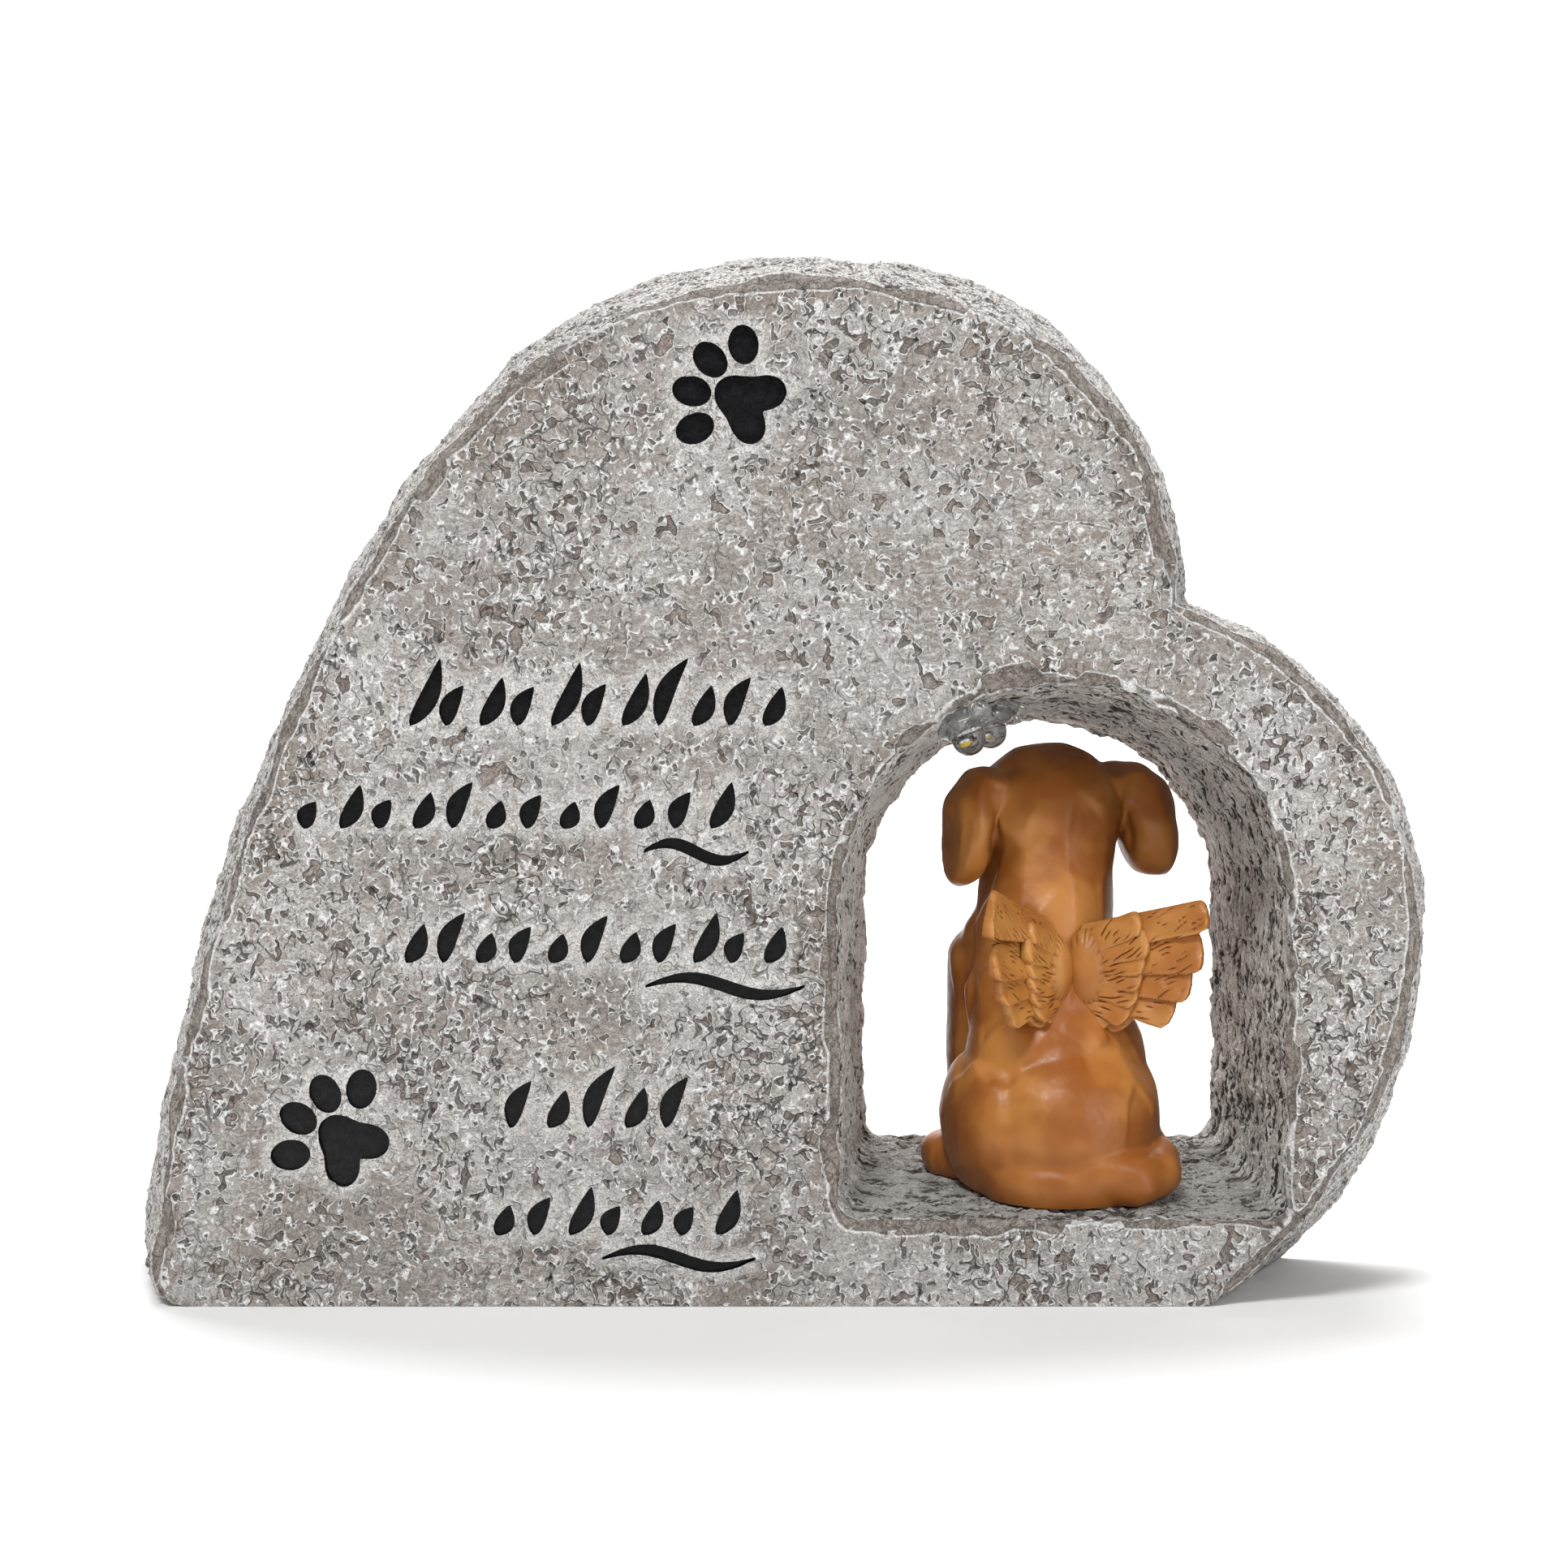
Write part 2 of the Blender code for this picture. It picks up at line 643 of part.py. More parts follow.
def main():
    parts, cutters = empty_scene()
    stone_mat = material("weathered_stone", (0.42, 0.40, 0.38), 0.9)
    dog_mat = material("caramel_resin", (0.42, 0.17, 0.04), 0.35)
    clear_mat = material("clear_epoxy", (0.92, 0.94, 0.93), 0.05, clear=1.0)
    frame_mat = material("black_plastic", (0.02, 0.02, 0.022), 0.45)
    cell_mat = material("solar_cell_blue", (0.01, 0.015, 0.05), 0.15)
    stone = stone_body(parts, stone_mat)
    cut(stone, window_cutter(cutters))
    cut(stone, carving_cutter(cutters))
    bulbs(stone, parts, cutters, clear_mat)
    solar_panel(stone, parts, cutters, frame_mat, cell_mat)
    figure(parts, cutters, dog_mat)


main()
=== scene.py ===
"""Looks of the solar pet memorial stone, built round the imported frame."""
import math
import random
from functools import partialmethod
from itertools import product

import bmesh
import bpy
import numpy as np
from mathutils import Matrix, Vector, noise
from mathutils.bvhtree import BVHTree
from mathutils.kdtree import KDTree


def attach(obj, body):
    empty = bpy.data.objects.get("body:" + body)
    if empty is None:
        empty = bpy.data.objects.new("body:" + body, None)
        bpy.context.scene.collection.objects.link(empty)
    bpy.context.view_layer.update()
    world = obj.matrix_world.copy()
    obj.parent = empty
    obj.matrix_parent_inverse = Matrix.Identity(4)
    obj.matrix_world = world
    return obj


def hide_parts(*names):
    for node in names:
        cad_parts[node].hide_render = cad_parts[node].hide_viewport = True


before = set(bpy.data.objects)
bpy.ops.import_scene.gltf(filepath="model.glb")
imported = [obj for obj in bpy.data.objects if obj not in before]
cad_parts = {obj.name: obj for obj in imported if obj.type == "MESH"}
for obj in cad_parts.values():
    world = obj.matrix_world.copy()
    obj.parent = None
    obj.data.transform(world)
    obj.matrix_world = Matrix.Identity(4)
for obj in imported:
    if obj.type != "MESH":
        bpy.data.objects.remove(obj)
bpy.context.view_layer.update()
scene = bpy.context.scene

# Stone, as in the frame: sizes in metres.
STONE_WIDTH, STONE_HEIGHT, STONE_DEPTH = 0.2116, 0.1657, 0.0540
FLARE, TOP_FLARE, ROUGHNESS = 0.0107, 0.0118, 0.0008
FRONT, BACK = -STONE_DEPTH / 2, STONE_DEPTH / 2
FACE_WIDTH, FACE_HEIGHT = STONE_WIDTH - 2 * FLARE, STONE_HEIGHT - TOP_FLARE
OUTLINE = (
    ((-0.500, 0.018), (-0.500, 0.029), 0.057, 24),
    ((-0.314, 0.738), (-0.311, 0.766), 0.028, 6),
    ((-0.208, 0.907), (-0.198, 0.921), 0.106, 12),
    ((0.098, 0.993), (0.100, 0.993), 0.190, 14),
    ((0.311, 0.655), (0.311, 0.684), 0.165, 12),
    ((0.500, 0.350), (0.502, 0.364), 0.115, 11),
    ((0.390, 0.000), (0.336, 0.000), 0.000, 14),
    ((-0.487, 0.000), (-0.476, 0.000), 0.200, 3),
)
FINE = 5
STONE_RINGS = 30
STONE_GRAIN = 0.00056
STONE_TRIANGLES = 182000
LINING_REACH, FLAT_FACE, FACE_SKIN = 0.0012, 0.75, 0.0004
BASE_FADE, PANEL_CLEAR, PANEL_FADE = 0.0015, 0.0005, 0.0020

# Window.
ARCH_X, ARCH_SPRING, ARCH_RADIUS, ARCH_TAPER = 0.0420, 0.0600, 0.0338, 0.0052
SILL_FRONT, SILL_BACK, SILL_CORNER = 0.0129, 0.0204, 0.0030
ARCH_RINGS = 20
PAST = 0.0040

# Carving.
CARVING_DEPTH, CARVING_FLOOR = 0.0013, 0.95
PAW_PAD, PAW_TOE_LENGTH, PAW_TOE_WIDTH, PAW_REACH = 0.0051, 0.0030, 0.0023, 0.0091
UPPER_PAW = (-0.0050, FACE_HEIGHT - 0.0184, math.radians(60))
LOWER_PAW = (0.0300 - FACE_WIDTH / 2, 0.0237, math.radians(43))
STROKE_WIDTH, STROKE_PITCH, STROKE_LEAN = 0.0029, 0.0056, math.radians(24)
ROWS = (
    (0.0872, 0.0055, 0.0600, 0.0112, 0.0000),
    (0.0683, 0.0135, 0.0680, 0.0112, 0.0160),
    (0.0481, 0.0050, 0.0610, 0.0118, 0.0240),
    (0.0268, 0.0205, 0.0300, 0.0108, 0.0000),
    (0.0072, 0.0125, 0.0400, 0.0115, 0.0230),
)
RHYTHM = (1.00, 0.60, 0.72, 0.58, 0.94, 0.62, 0.78)

# Lamps.
BULB_RADIUS, BULB_FLANGE, BULB_FLANGE_HEIGHT = 0.0026, 0.0029, 0.0008
BULB_DOME, BULB_STEM_RADIUS, BULB_STEM = 0.0046, 0.0021, 0.0040
BULBS = (
    ("led_front", 0.0068, 0.0155, 0.0016, (0.36, -0.26, -0.90)),
    ("led_back", 0.0195, 0.0106, 0.0008, (0.22, 0.10, -0.97)),
)

# Solar panel.
PANEL_SIDE, PANEL_RIM, PANEL_THICKNESS, PANEL_PROUD = 0.0600, 0.0045, 0.0040, 0.0012
PANEL_X = (ARCH_X - ARCH_RADIUS - STONE_WIDTH / 2) / 2
PANEL_Z = STONE_HEIGHT - 0.0720 - PANEL_SIDE / 2
GAP = 0.0003

MM = 1000.0

# The photograph's camera.
CAMERA_AT = (0.0, -0.547, 0.0785)
LENS = 79.45

# Studio lights: place, aim, size in metres and power in watts, and the world's strength.
LIGHTS = (
    ("key", (-0.40, -1.38, 1.80), (0, 0, 0.08), 0.60, 31.5),
    ("fill", (1.3, -1.3, 0.7), (0, 0, 0.08), 0.9, 9.5),
    ("ground_light", (0.0, 0.9, 1.5), (0, 1.2, 0.3), 1.2, 34.0),
)
SKY = 0.23


# Node helper.
class Nodes:
    """Builds the same arithmetic in a shader tree or a geometry tree."""

    def __init__(self, tree):
        self.tree = tree

    def put(self, socket, value):
        if isinstance(value, bpy.types.NodeSocket):
            self.tree.links.new(value, socket)
        elif value is not None:
            if socket.type == "VECTOR" and isinstance(value, (int, float)):
                value = (value,) * 3
            if socket.type == "RGBA" and len(value) == 3:
                value = (*value, 1.0)
            socket.default_value = value

    def add(self, kind, **settings):
        node = self.tree.nodes.new(kind)
        for key, value in settings.items():
            setattr(node, key, value)
        return node

    def math(self, op, *given):
        node = self.add("ShaderNodeMath", operation=op)
        for socket, value in zip(node.inputs, given):
            self.put(socket, value)
        return node.outputs[0]

    plus = partialmethod(math, "ADD")
    minus = partialmethod(math, "SUBTRACT")
    times = partialmethod(math, "MULTIPLY")
    line = partialmethod(math, "MULTIPLY_ADD")
    most = partialmethod(math, "MAXIMUM")
    size = partialmethod(math, "ABSOLUTE")

    def vec(self, op, a, b):
        node = self.add("ShaderNodeVectorMath", operation=op)
        self.put(node.inputs[0], a)
        self.put(node.inputs["Scale" if op == "SCALE" else 1], b)
        return node.outputs["Vector"]

    moved = partialmethod(vec, "ADD")
    stretched = partialmethod(vec, "MULTIPLY")
    scaled = partialmethod(vec, "SCALE")

    def noise(self, at, scale, detail=2.0, rough=0.5, colour=False):
        node = self.add("ShaderNodeTexNoise")
        for name, given in (("Vector", at), ("Scale", scale), ("Detail", detail), ("Roughness", rough)):
            self.put(node.inputs[name], given)
        return node.outputs[1 if colour else 0]

    def jitter(self, at, scale, detail, rough):
        """A noise vector about zero."""
        return self.vec("SUBTRACT", self.noise(at, scale, detail, rough, colour=True), (0.5, 0.5, 0.5))

    def crack(self, value, narrow, wide, depth=1.0):
        """Thin lines where a noise crosses its middle."""
        return self.step(self.size(self.minus(value, 0.5)), narrow, wide, depth, 0.0)

    def band(self, value, start, full, last, end, to_end=0.0):
        """1 while value lies between full and last, with smooth flanks."""
        return self.times(self.step(value, start, full), self.step(value, last, end, 1.0, to_end))

    def cell_chance(self, at, scale):
        node = self.add("ShaderNodeTexVoronoi")
        self.put(node.inputs["Vector"], at)
        self.put(node.inputs["Scale"], scale)
        return self.parts(node.outputs["Color"])[0]

    def parts(self, vector):
        node = self.add("ShaderNodeSeparateXYZ")
        self.put(node.inputs[0], vector)
        return node.outputs

    def step(self, value, low, high, to_low=0.0, to_high=1.0):
        """A smooth step from to_low to to_high while value goes from low to high."""
        node = self.add("ShaderNodeMapRange", interpolation_type="SMOOTHSTEP")
        for name, given in (
            ("Value", value), ("From Min", low), ("From Max", high),
            ("To Min", to_low), ("To Max", to_high),
        ):
            self.put(node.inputs[name], given)
        return node.outputs[0]

    def blend(self, share, a, b):
        """Mixes two numbers: a where share is 0 and b where it is 1."""
        node = self.add("ShaderNodeMix", data_type="FLOAT")
        for i, given in zip((0, 2, 3), (share, a, b)):
            self.put(node.inputs[i], given)
        return node.outputs[0]

    def tint(self, share, a, b):
        """Mixes two colours: a where share is 0 and b where it is 1."""
        node = self.add("ShaderNodeMix", data_type="RGBA")
        for i, given in zip((0, 6, 7), (share, a, b)):
            self.put(node.inputs[i], given)
        return node.outputs[2]

    def attribute(self, name):
        return self.add("ShaderNodeAttribute", attribute_name=name).outputs

    def place(self):
        """The place on the object in millimetres."""
        return self.scaled(self.add("ShaderNodeTexCoord").outputs["Object"], MM)

    def facing(self):
        return self.parts(self.add("ShaderNodeTexCoord").outputs["Normal"])

    def finish(self, shader, colour, roughness, **constants):
        """Sets a shader's colour, roughness and plain values, with _ for a space in their names."""
        self.put(shader.inputs["Base Color"], colour)
        self.put(shader.inputs["Roughness"], roughness)
        for name, value in constants.items():
            self.put(shader.inputs[name.replace("_", " ")], value)

    def bump(self, shader, height, distance, strength=1.0):
        node = self.add("ShaderNodeBump")
        node.inputs["Distance"].default_value = distance
        node.inputs["Strength"].default_value = strength
        self.put(node.inputs["Height"], height)
        self.put(shader.inputs["Normal"], node.outputs[0])


def srgb(red, green, blue):
    """A colour given by its 8-bit screen values."""
    def linear(value):
        share = value / 255
        return share / 12.92 if share <= 0.04045 else ((share + 0.055) / 1.055) ** 2.4
    return tuple(linear(v) for v in (red, green, blue))


TAUPE, GREY, LIGHT = srgb(148, 137, 129), srgb(158, 151, 146), srgb(190, 186, 182)
# The second colour is the dark grey painted as shade in the stone's pits, creases, lows, cracks and chips.
WHITE, PAINTED_SHADE = srgb(232, 231, 229), srgb(92, 86, 82)


def new_material(name):
    mat = bpy.data.materials.new(name)
    mat.use_nodes = True
    return mat, Nodes(mat.node_tree), mat.node_tree.nodes["Principled BSDF"]


# Mesh helpers.
def from_bmesh(name, bm, mat=None):
    bmesh.ops.recalc_face_normals(bm, faces=bm.faces[:])
    mesh = bpy.data.meshes.new(name)
    bm.to_mesh(mesh)
    bm.free()
    obj = bpy.data.objects.new(name, mesh)
    scene.collection.objects.link(obj)
    if mat:
        mesh.materials.append(mat)
    mesh.shade_smooth()
    return obj


def take_in(bm, part):
    """Adds one bmesh to another and frees it."""
    mesh = bpy.data.meshes.new("part")
    part.to_mesh(mesh)
    part.free()
    bm.from_mesh(mesh)
    bpy.data.meshes.remove(mesh)


def triangles(obj):
    return sum(len(p.vertices) - 2 for p in obj.data.polygons)


def voxels(obj, size, smooth=False):
    grow = obj.modifiers.new("grain", "REMESH")
    grow.mode = "VOXEL"
    grow.voxel_size = size
    grow.use_smooth_shade = smooth


def soften(obj, rounds):
    step = obj.modifiers.new("soften", "SMOOTH")
    step.factor = 0.5
    step.iterations = rounds


def baked(obj):
    """Replaces an object's mesh by what its modifiers make of it."""
    depsgraph = bpy.context.evaluated_depsgraph_get()
    mesh = bpy.data.meshes.new_from_object(obj.evaluated_get(depsgraph), depsgraph=depsgraph)
    old = obj.data
    obj.modifiers.clear()
    obj.data = mesh
    bpy.data.meshes.remove(old)
    mesh.name = obj.name


def carve(target, *cutters):
    """Cuts the cutters out of the target, after its other modifiers, and removes them."""
    for cutter in cutters:
        step = target.modifiers.new(cutter.name, "BOOLEAN")
        step.operation = "DIFFERENCE"
        step.solver = "MANIFOLD"
        step.material_mode = "TRANSFER"
        step.object = cutter
    baked(target)
    for cutter in cutters:
        bpy.data.objects.remove(cutter, do_unlink=True)


def coords(mesh):
    flat = np.empty(len(mesh.vertices) * 3)
    mesh.vertices.foreach_get("co", flat)
    return flat.reshape(-1, 3)


def put_coords(mesh, points):
    mesh.vertices.foreach_set("co", points.ravel())
    mesh.update()


def write_attribute(mesh, name, values, kind="FLOAT"):
    old = mesh.attributes.get(name)
    if old:
        mesh.attributes.remove(old)
    layer = mesh.attributes.new(name, kind, "POINT")
    layer.data.foreach_set("vector" if kind == "FLOAT_VECTOR" else "value", np.ravel(values))


# Stone shape.
def arc(start, end, bulge, count):
    """Points from start up to end on an arc whose rise is bulge times its chord."""
    start, end = Vector(start), Vector(end)
    chord = end - start
    if abs(bulge) < 1e-4:
        return [start + chord * i / count for i in range(count)]
    rise = bulge * chord.length
    radius = (chord.length ** 2 / 4 + rise ** 2) / (2 * rise)
    left = Vector((-chord.y, chord.x)).normalized()
    centre = (start + end) / 2 + left * (rise - radius)
    half = math.asin(min(1.0, chord.length / 2 / abs(radius)))
    middle = math.atan2(left.y, left.x)
    return [
        centre + radius * Vector((math.cos(a), math.sin(a)))
        for a in (middle + half * (1 - 2 * i / count) for i in range(count))
    ]


def outline(side, width, height):
    corners = [Vector((knot[side][0] * width, knot[side][1] * height)) for knot in OUTLINE]
    points = []
    for i, knot in enumerate(OUTLINE):
        points += arc(corners[i], corners[(i + 1) % len(corners)], knot[2], knot[3] * FINE)
    return points


def outward(points):
    count = len(points)
    normals = []
    for i in range(count):
        along = points[(i + 1) % count] - points[i - 1]
        normals.append(Vector((-along.y, along.x)).normalized())
    return normals


def hewn(turn, depth):
    """Gentle unevenness of the walls, from -1 to 1, round the outline and through the depth."""
    t = 2 * math.pi * turn
    return (
        0.40 * math.sin(9 * t + 4.1 * depth)
        + 0.30 * math.sin(23 * t - 7.3 * depth + 1.1)
        + 0.30 * math.sin(41 * t + 11.0 * depth + 2.3)
    )


def loft(rings):
    """A closed body through rings of as many points each."""
    bm = bmesh.new()
    rows = [[bm.verts.new(point) for point in ring] for ring in rings]
    count = len(rows[0])
    for lower, upper in zip(rows, rows[1:]):
        for i in range(count):
            j = (i + 1) % count
            bm.faces.new((lower[i], lower[j], upper[j], upper[i]))
    bm.faces.new(rows[0])
    bm.faces.new(rows[-1][::-1])
    return bm


def stone_block():
    back = outline(0, STONE_WIDTH, STONE_HEIGHT)
    front = outline(1, FACE_WIDTH, FACE_HEIGHT)
    normals = outward(back)
    rings = []
    for k in range(STONE_RINGS + 1):
        share = k / STONE_RINGS
        y = BACK - STONE_DEPTH * share
        ring = []
        for i, (b, f) in enumerate(zip(back, front)):
            point = b.lerp(f, share)
            clear_of_base = min(1.0, max(0.0, point.y / 0.004))
            point = point + normals[i] * ROUGHNESS * hewn(i / len(back), share) * clear_of_base
            ring.append((point.x, y, max(0.0, point.y)))
        rings.append(ring)
    return from_bmesh("stone_relief", loft(rings))


def arch_radius(y):
    return ARCH_RADIUS - ARCH_TAPER * (y - FRONT) / STONE_DEPTH


def sill_height(y):
    return SILL_FRONT + (SILL_BACK - SILL_FRONT) * (y - FRONT) / STONE_DEPTH


def arch_outline(y, fine=4):
    radius = arch_radius(y)
    left, right, sill = ARCH_X - radius, ARCH_X + radius, sill_height(y)
    corner = SILL_CORNER
    points = arc((left, sill + corner), (left, ARCH_SPRING), 0, 5 * fine)
    points += arc((left, ARCH_SPRING), (right, ARCH_SPRING), 0.4999, 22 * fine)
    points += arc((right, ARCH_SPRING), (right, sill + corner), 0, 5 * fine)
    points += arc((right, sill + corner), (right - corner, sill), 0.2, 3 * fine)
    points += arc((right - corner, sill), (left + corner, sill), 0, 4 * fine)
    points += arc((left + corner, sill), (left, sill + corner), 0.2, 3 * fine)
    return points


def window_cutter():
    rings = []
    for k in range(ARCH_RINGS + 1):
        share = k / ARCH_RINGS
        y = FRONT - PAST + (STONE_DEPTH + 2 * PAST) * share
        flat = arch_outline(y)
        normals = outward(flat)
        ring = []
        for i, point in enumerate(flat):
            above_sill = min(1.0, max(0.0, (point.y - sill_height(y)) / 0.006))
            lift = 0.7 * ROUGHNESS * hewn(i / len(flat), 0.4 + share) * above_sill
            point = point + normals[i] * lift
            ring.append((point.x, y, point.y))
        rings.append(ring)
    return from_bmesh("window", loft(rings))


# Carved shapes.
def toe(centre, angle):
    along = Vector((math.cos(angle), math.sin(angle)))
    across = Vector((-along.y, along.x))
    steps = [2 * math.pi * i / 40 for i in range(40)]
    return [
        centre + along * PAW_TOE_LENGTH * math.cos(a) + across * PAW_TOE_WIDTH * math.sin(a)
        for a in steps
    ]


def pad(centre, facing):
    """The large pad of a paw, three-lobed and dented at its heel."""
    points = []
    for i in range(90):
        turn = 2 * math.pi * i / 90
        from_heel = turn - math.pi
        reach = 1 + 0.17 * math.cos(3 * turn) - 0.40 * math.exp(-((from_heel / 0.5) ** 2))
        angle = facing + turn
        points.append(centre + PAW_PAD * reach * Vector((math.cos(angle), math.sin(angle))))
    return points


def paw_print(x, z, turn):
    centre = Vector((x, z))
    facing = math.pi / 2 + turn
    shapes = [pad(centre, facing)]
    for offset in (-53, -18, 17, 53):
        angle = facing + math.radians(offset)
        reach = PAW_REACH * Vector((math.cos(angle), math.sin(angle)))
        shapes.append(toe(centre + reach, angle))
    return shapes


def blade(foot, length, angle, bow, width):
    """A bowed leaf from its foot to its tip."""
    along = Vector((math.cos(angle), math.sin(angle)))
    across = Vector((-along.y, along.x))
    upper, lower = [], []
    steps = 16
    for i in range(1, steps):
        share = i / steps
        middle = foot + along * length * share + across * length * bow * math.sin(math.pi * share)
        half = width / 2 * math.sin(math.pi * share ** 0.8) ** 0.8
        upper.append(middle + across * half)
        lower.append(middle - across * half)
    return [foot] + upper + [foot + along * length] + lower[::-1]


def sweep(start, length):
    """A long flat wave that tapers to both ends."""
    upper, lower = [], []
    steps = 26
    for i in range(steps + 1):
        share = i / steps
        middle = start + Vector((length * share, 0.0013 * math.sin(2 * math.pi * share)))
        half = STROKE_WIDTH * 0.36 * (0.2 + 0.8 * math.sin(math.pi * share))
        upper.append(middle + Vector((0, half)))
        lower.append(middle - Vector((0, half)))
    return upper + lower[::-1]


def stroke_rows():
    shapes = []
    jamb = ARCH_X - ARCH_RADIUS
    for number, (base, inset, length, height, tail) in enumerate(ROWS):
        end = jamb - inset
        lean = math.sin(STROKE_LEAN) * height
        count = round(length / STROKE_PITCH)
        pitch = (length - lean) / (count - 0.6)
        lift = STROKE_WIDTH * 1.2 if tail else 0.0
        for i in range(count):
            tall = RHYTHM[(i + 3 * number) % len(RHYTHM)] * (height - lift)
            foot = Vector((end - length + pitch * (i + 0.2), base + lift))
            bow = 0.10 if (i + number) % 2 else -0.08
            shapes.append(blade(foot, tall, math.pi / 2 - STROKE_LEAN, bow, STROKE_WIDTH))
        if tail:
            shapes.append(sweep(Vector((end - tail, base)), tail))
    return shapes


CARVED = paw_print(*UPPER_PAW) + paw_print(*LOWER_PAW) + stroke_rows()


def carving_cutter(mat):
    joined = bmesh.new()
    above = 0.0012
    for shape in CARVED:
        middle = sum(shape, Vector((0, 0))) / len(shape)
        rings = []
        for y, size in ((FRONT - above, 1.03), (FRONT, 1.0), (FRONT + CARVING_DEPTH, CARVING_FLOOR)):
            rings.append([(p.x, y, p.y) for p in (middle + (q - middle) * size for q in shape)])
        one = loft(rings)
        bmesh.ops.recalc_face_normals(one, faces=one.faces[:])
        take_in(joined, one)
    return from_bmesh("carving", joined, mat)


# Stone relief.
def nearest_on(points, samples):
    """For each point the nearest sample's number and distance."""
    tree = KDTree(len(samples))
    for i, sample in enumerate(samples):
        tree.insert((sample[0], sample[1], 0.0), i)
    tree.balance()
    found = [tree.find((x, z, 0.0)) for x, z in points]
    return np.array([f[1] for f in found]), np.array([f[2] for f in found])


def dense(points, pitch=0.0004):
    """A closed outline with points no further apart than pitch."""
    out = []
    for a, b in zip(points, points[1:] + points[:1]):
        count = max(1, int((b - a).length / pitch))
        out += [a.lerp(b, i / count) for i in range(count)]
    return out


def wobble(points, scale, seed):
    """Smooth noise from -1 to 1 at points given in millimetres."""
    shift = Vector((17.3 * seed, -9.1 * seed, 5.7 * seed))
    return np.array([noise.noise(Vector(p) * scale + shift) for p in points])


# Larger knocks on the rims: x, z, radius along the rim and how deep they bite, in millimetres.
KNOCKS = (
    (-35.5, 139.8, 4.6, 3.0), (-53.5, 124.0, 4.2, 2.6), (-45.0, 133.0, 5.5, 1.6), (-60.0, 114.0, 4.0, 1.8),
    (57.2, 128.0, 4.0, 2.6), (58.6, 117.0, 6.0, 3.2), (57.0, 123.0, 4.0, 2.8),
    (34.4, 94.0, 4.8, 3.4), (47.6, 94.4, 3.8, 1.7),
    (65.0, 86.0, 3.2, 2.6), (20.0, 85.0, 3.6, 2.2),
    (-95.0, 12.0, 5.0, 3.0), (-88.0, 3.5, 5.0, 2.6), (-74.0, 2.5, 6.0, 3.0), (75.0, 107.5, 6.0, 1.8),
    (84.0, 97.0, 5.0, 1.6), (90.0, 40.0, 4.0, 1.8), (72.0, 3.5, 6.0, 2.0), (75.4, 36.0, 4.0, 2.0),
    (75.6, 52.0, 3.0, 1.7), (8.6, 24.0, 4.0, 3.0), (9.0, 52.0, 5.0, 2.8), (-100.0, 60.0, 6.0, 1.4),
    (-80.0, 96.0, 7.0, 1.8), (0.0, 150.5, 8.0, 1.8), (22.0, 150.0, 6.0, 1.8), (48.0, 139.0, 6.0, 2.0),
)


def chipped(points, front_rim, arch_rim, back_rim):
    """How far each point lies inside the broken edge, in metres, and the way that it is cut back."""
    millimetres = points * MM
    field = np.full(len(points), -0.01)
    push = np.zeros_like(points)
    for rim, face_y, inward, base, bite, slope in (
        (front_rim, FRONT, -1, 0.75, 0.9, 1.0),
        (arch_rim, FRONT, 1, 0.45, 0.9, 1.5),
        (back_rim, BACK, -1, 0.4, 0.3, 1.0),
    ):
        samples, normals = rim
        near = np.abs(points[:, 1] - face_y) < 0.007
        index = np.nonzero(near)[0]
        which, gap = nearest_on(points[index][:, (0, 2)], samples)
        close = gap < 0.007
        index, which = index[close], which[close]
        normal = normals[which] * inward
        offset = points[index][:, (0, 2)] - samples[which]
        inside = (offset * normal).sum(1)
        deep = np.abs(points[index, 1] - face_y)
        spot = millimetres[index]
        slow = wobble(spot, 0.11, 1)
        fast = wobble(spot, 0.42, 2)
        quick = wobble(spot, 1.1, 3)
        width = base + bite * (0.9 * np.clip((slow + 0.12) * 4, 0, 1) + 0.45 * fast)
        if inward > 0:
            # The window's left jamb is broken back further than its right one.
            width = width + 1.0 * (spot[:, 0] < ARCH_X * MM) * np.clip((72 - spot[:, 2]) / 12, 0, 1)
        if bite > 0.6:
            for x, z, reach, depth in KNOCKS:
                away = np.hypot(spot[:, 0] - x, spot[:, 2] - z) + 1.6 * fast + 0.5 * quick
                width = np.maximum(width, depth * np.clip((reach - away) * 1.1, 0, 1))
        width = width + 0.25 * quick
        value = width / MM - np.maximum(inside, -0.0006) - slope * deep
        if inward < 0:
            # The bottom edge stays whole, so that the stone stands flat.
            bottom = (normal[:, 1] > 0.8) & (samples[which, 1] < 0.001)
            value = np.where(bottom, -0.01, np.minimum(value, points[index, 2] - 0.0004))
        better = value > field[index]
        index, value, normal = index[better], value[better], normal[better]
        field[index] = value
        cut_back = np.maximum(value, 0) / (1 + slope * slope)
        push[index, 0] = normal[:, 0] * cut_back
        push[index, 2] = normal[:, 1] * cut_back
        push[index, 1] = slope * cut_back * (1 if face_y == FRONT else -1)
    return field, push


def arch_distance(points):
    """Distance of each point from the window's lining, positive inside the stone."""
    y = np.clip(points[:, 1], FRONT, BACK)
    radius = ARCH_RADIUS - ARCH_TAPER * (y - FRONT) / STONE_DEPTH
    sill = SILL_FRONT + (SILL_BACK - SILL_FRONT) * (y - FRONT) / STONE_DEPTH
    across = np.abs(points[:, 0] - ARCH_X)
    above = points[:, 2] - ARCH_SPRING
    round_part = np.hypot(across, np.maximum(above, 0)) - radius
    return np.where(above > 0, round_part, np.maximum(across - radius, sill - points[:, 2]))


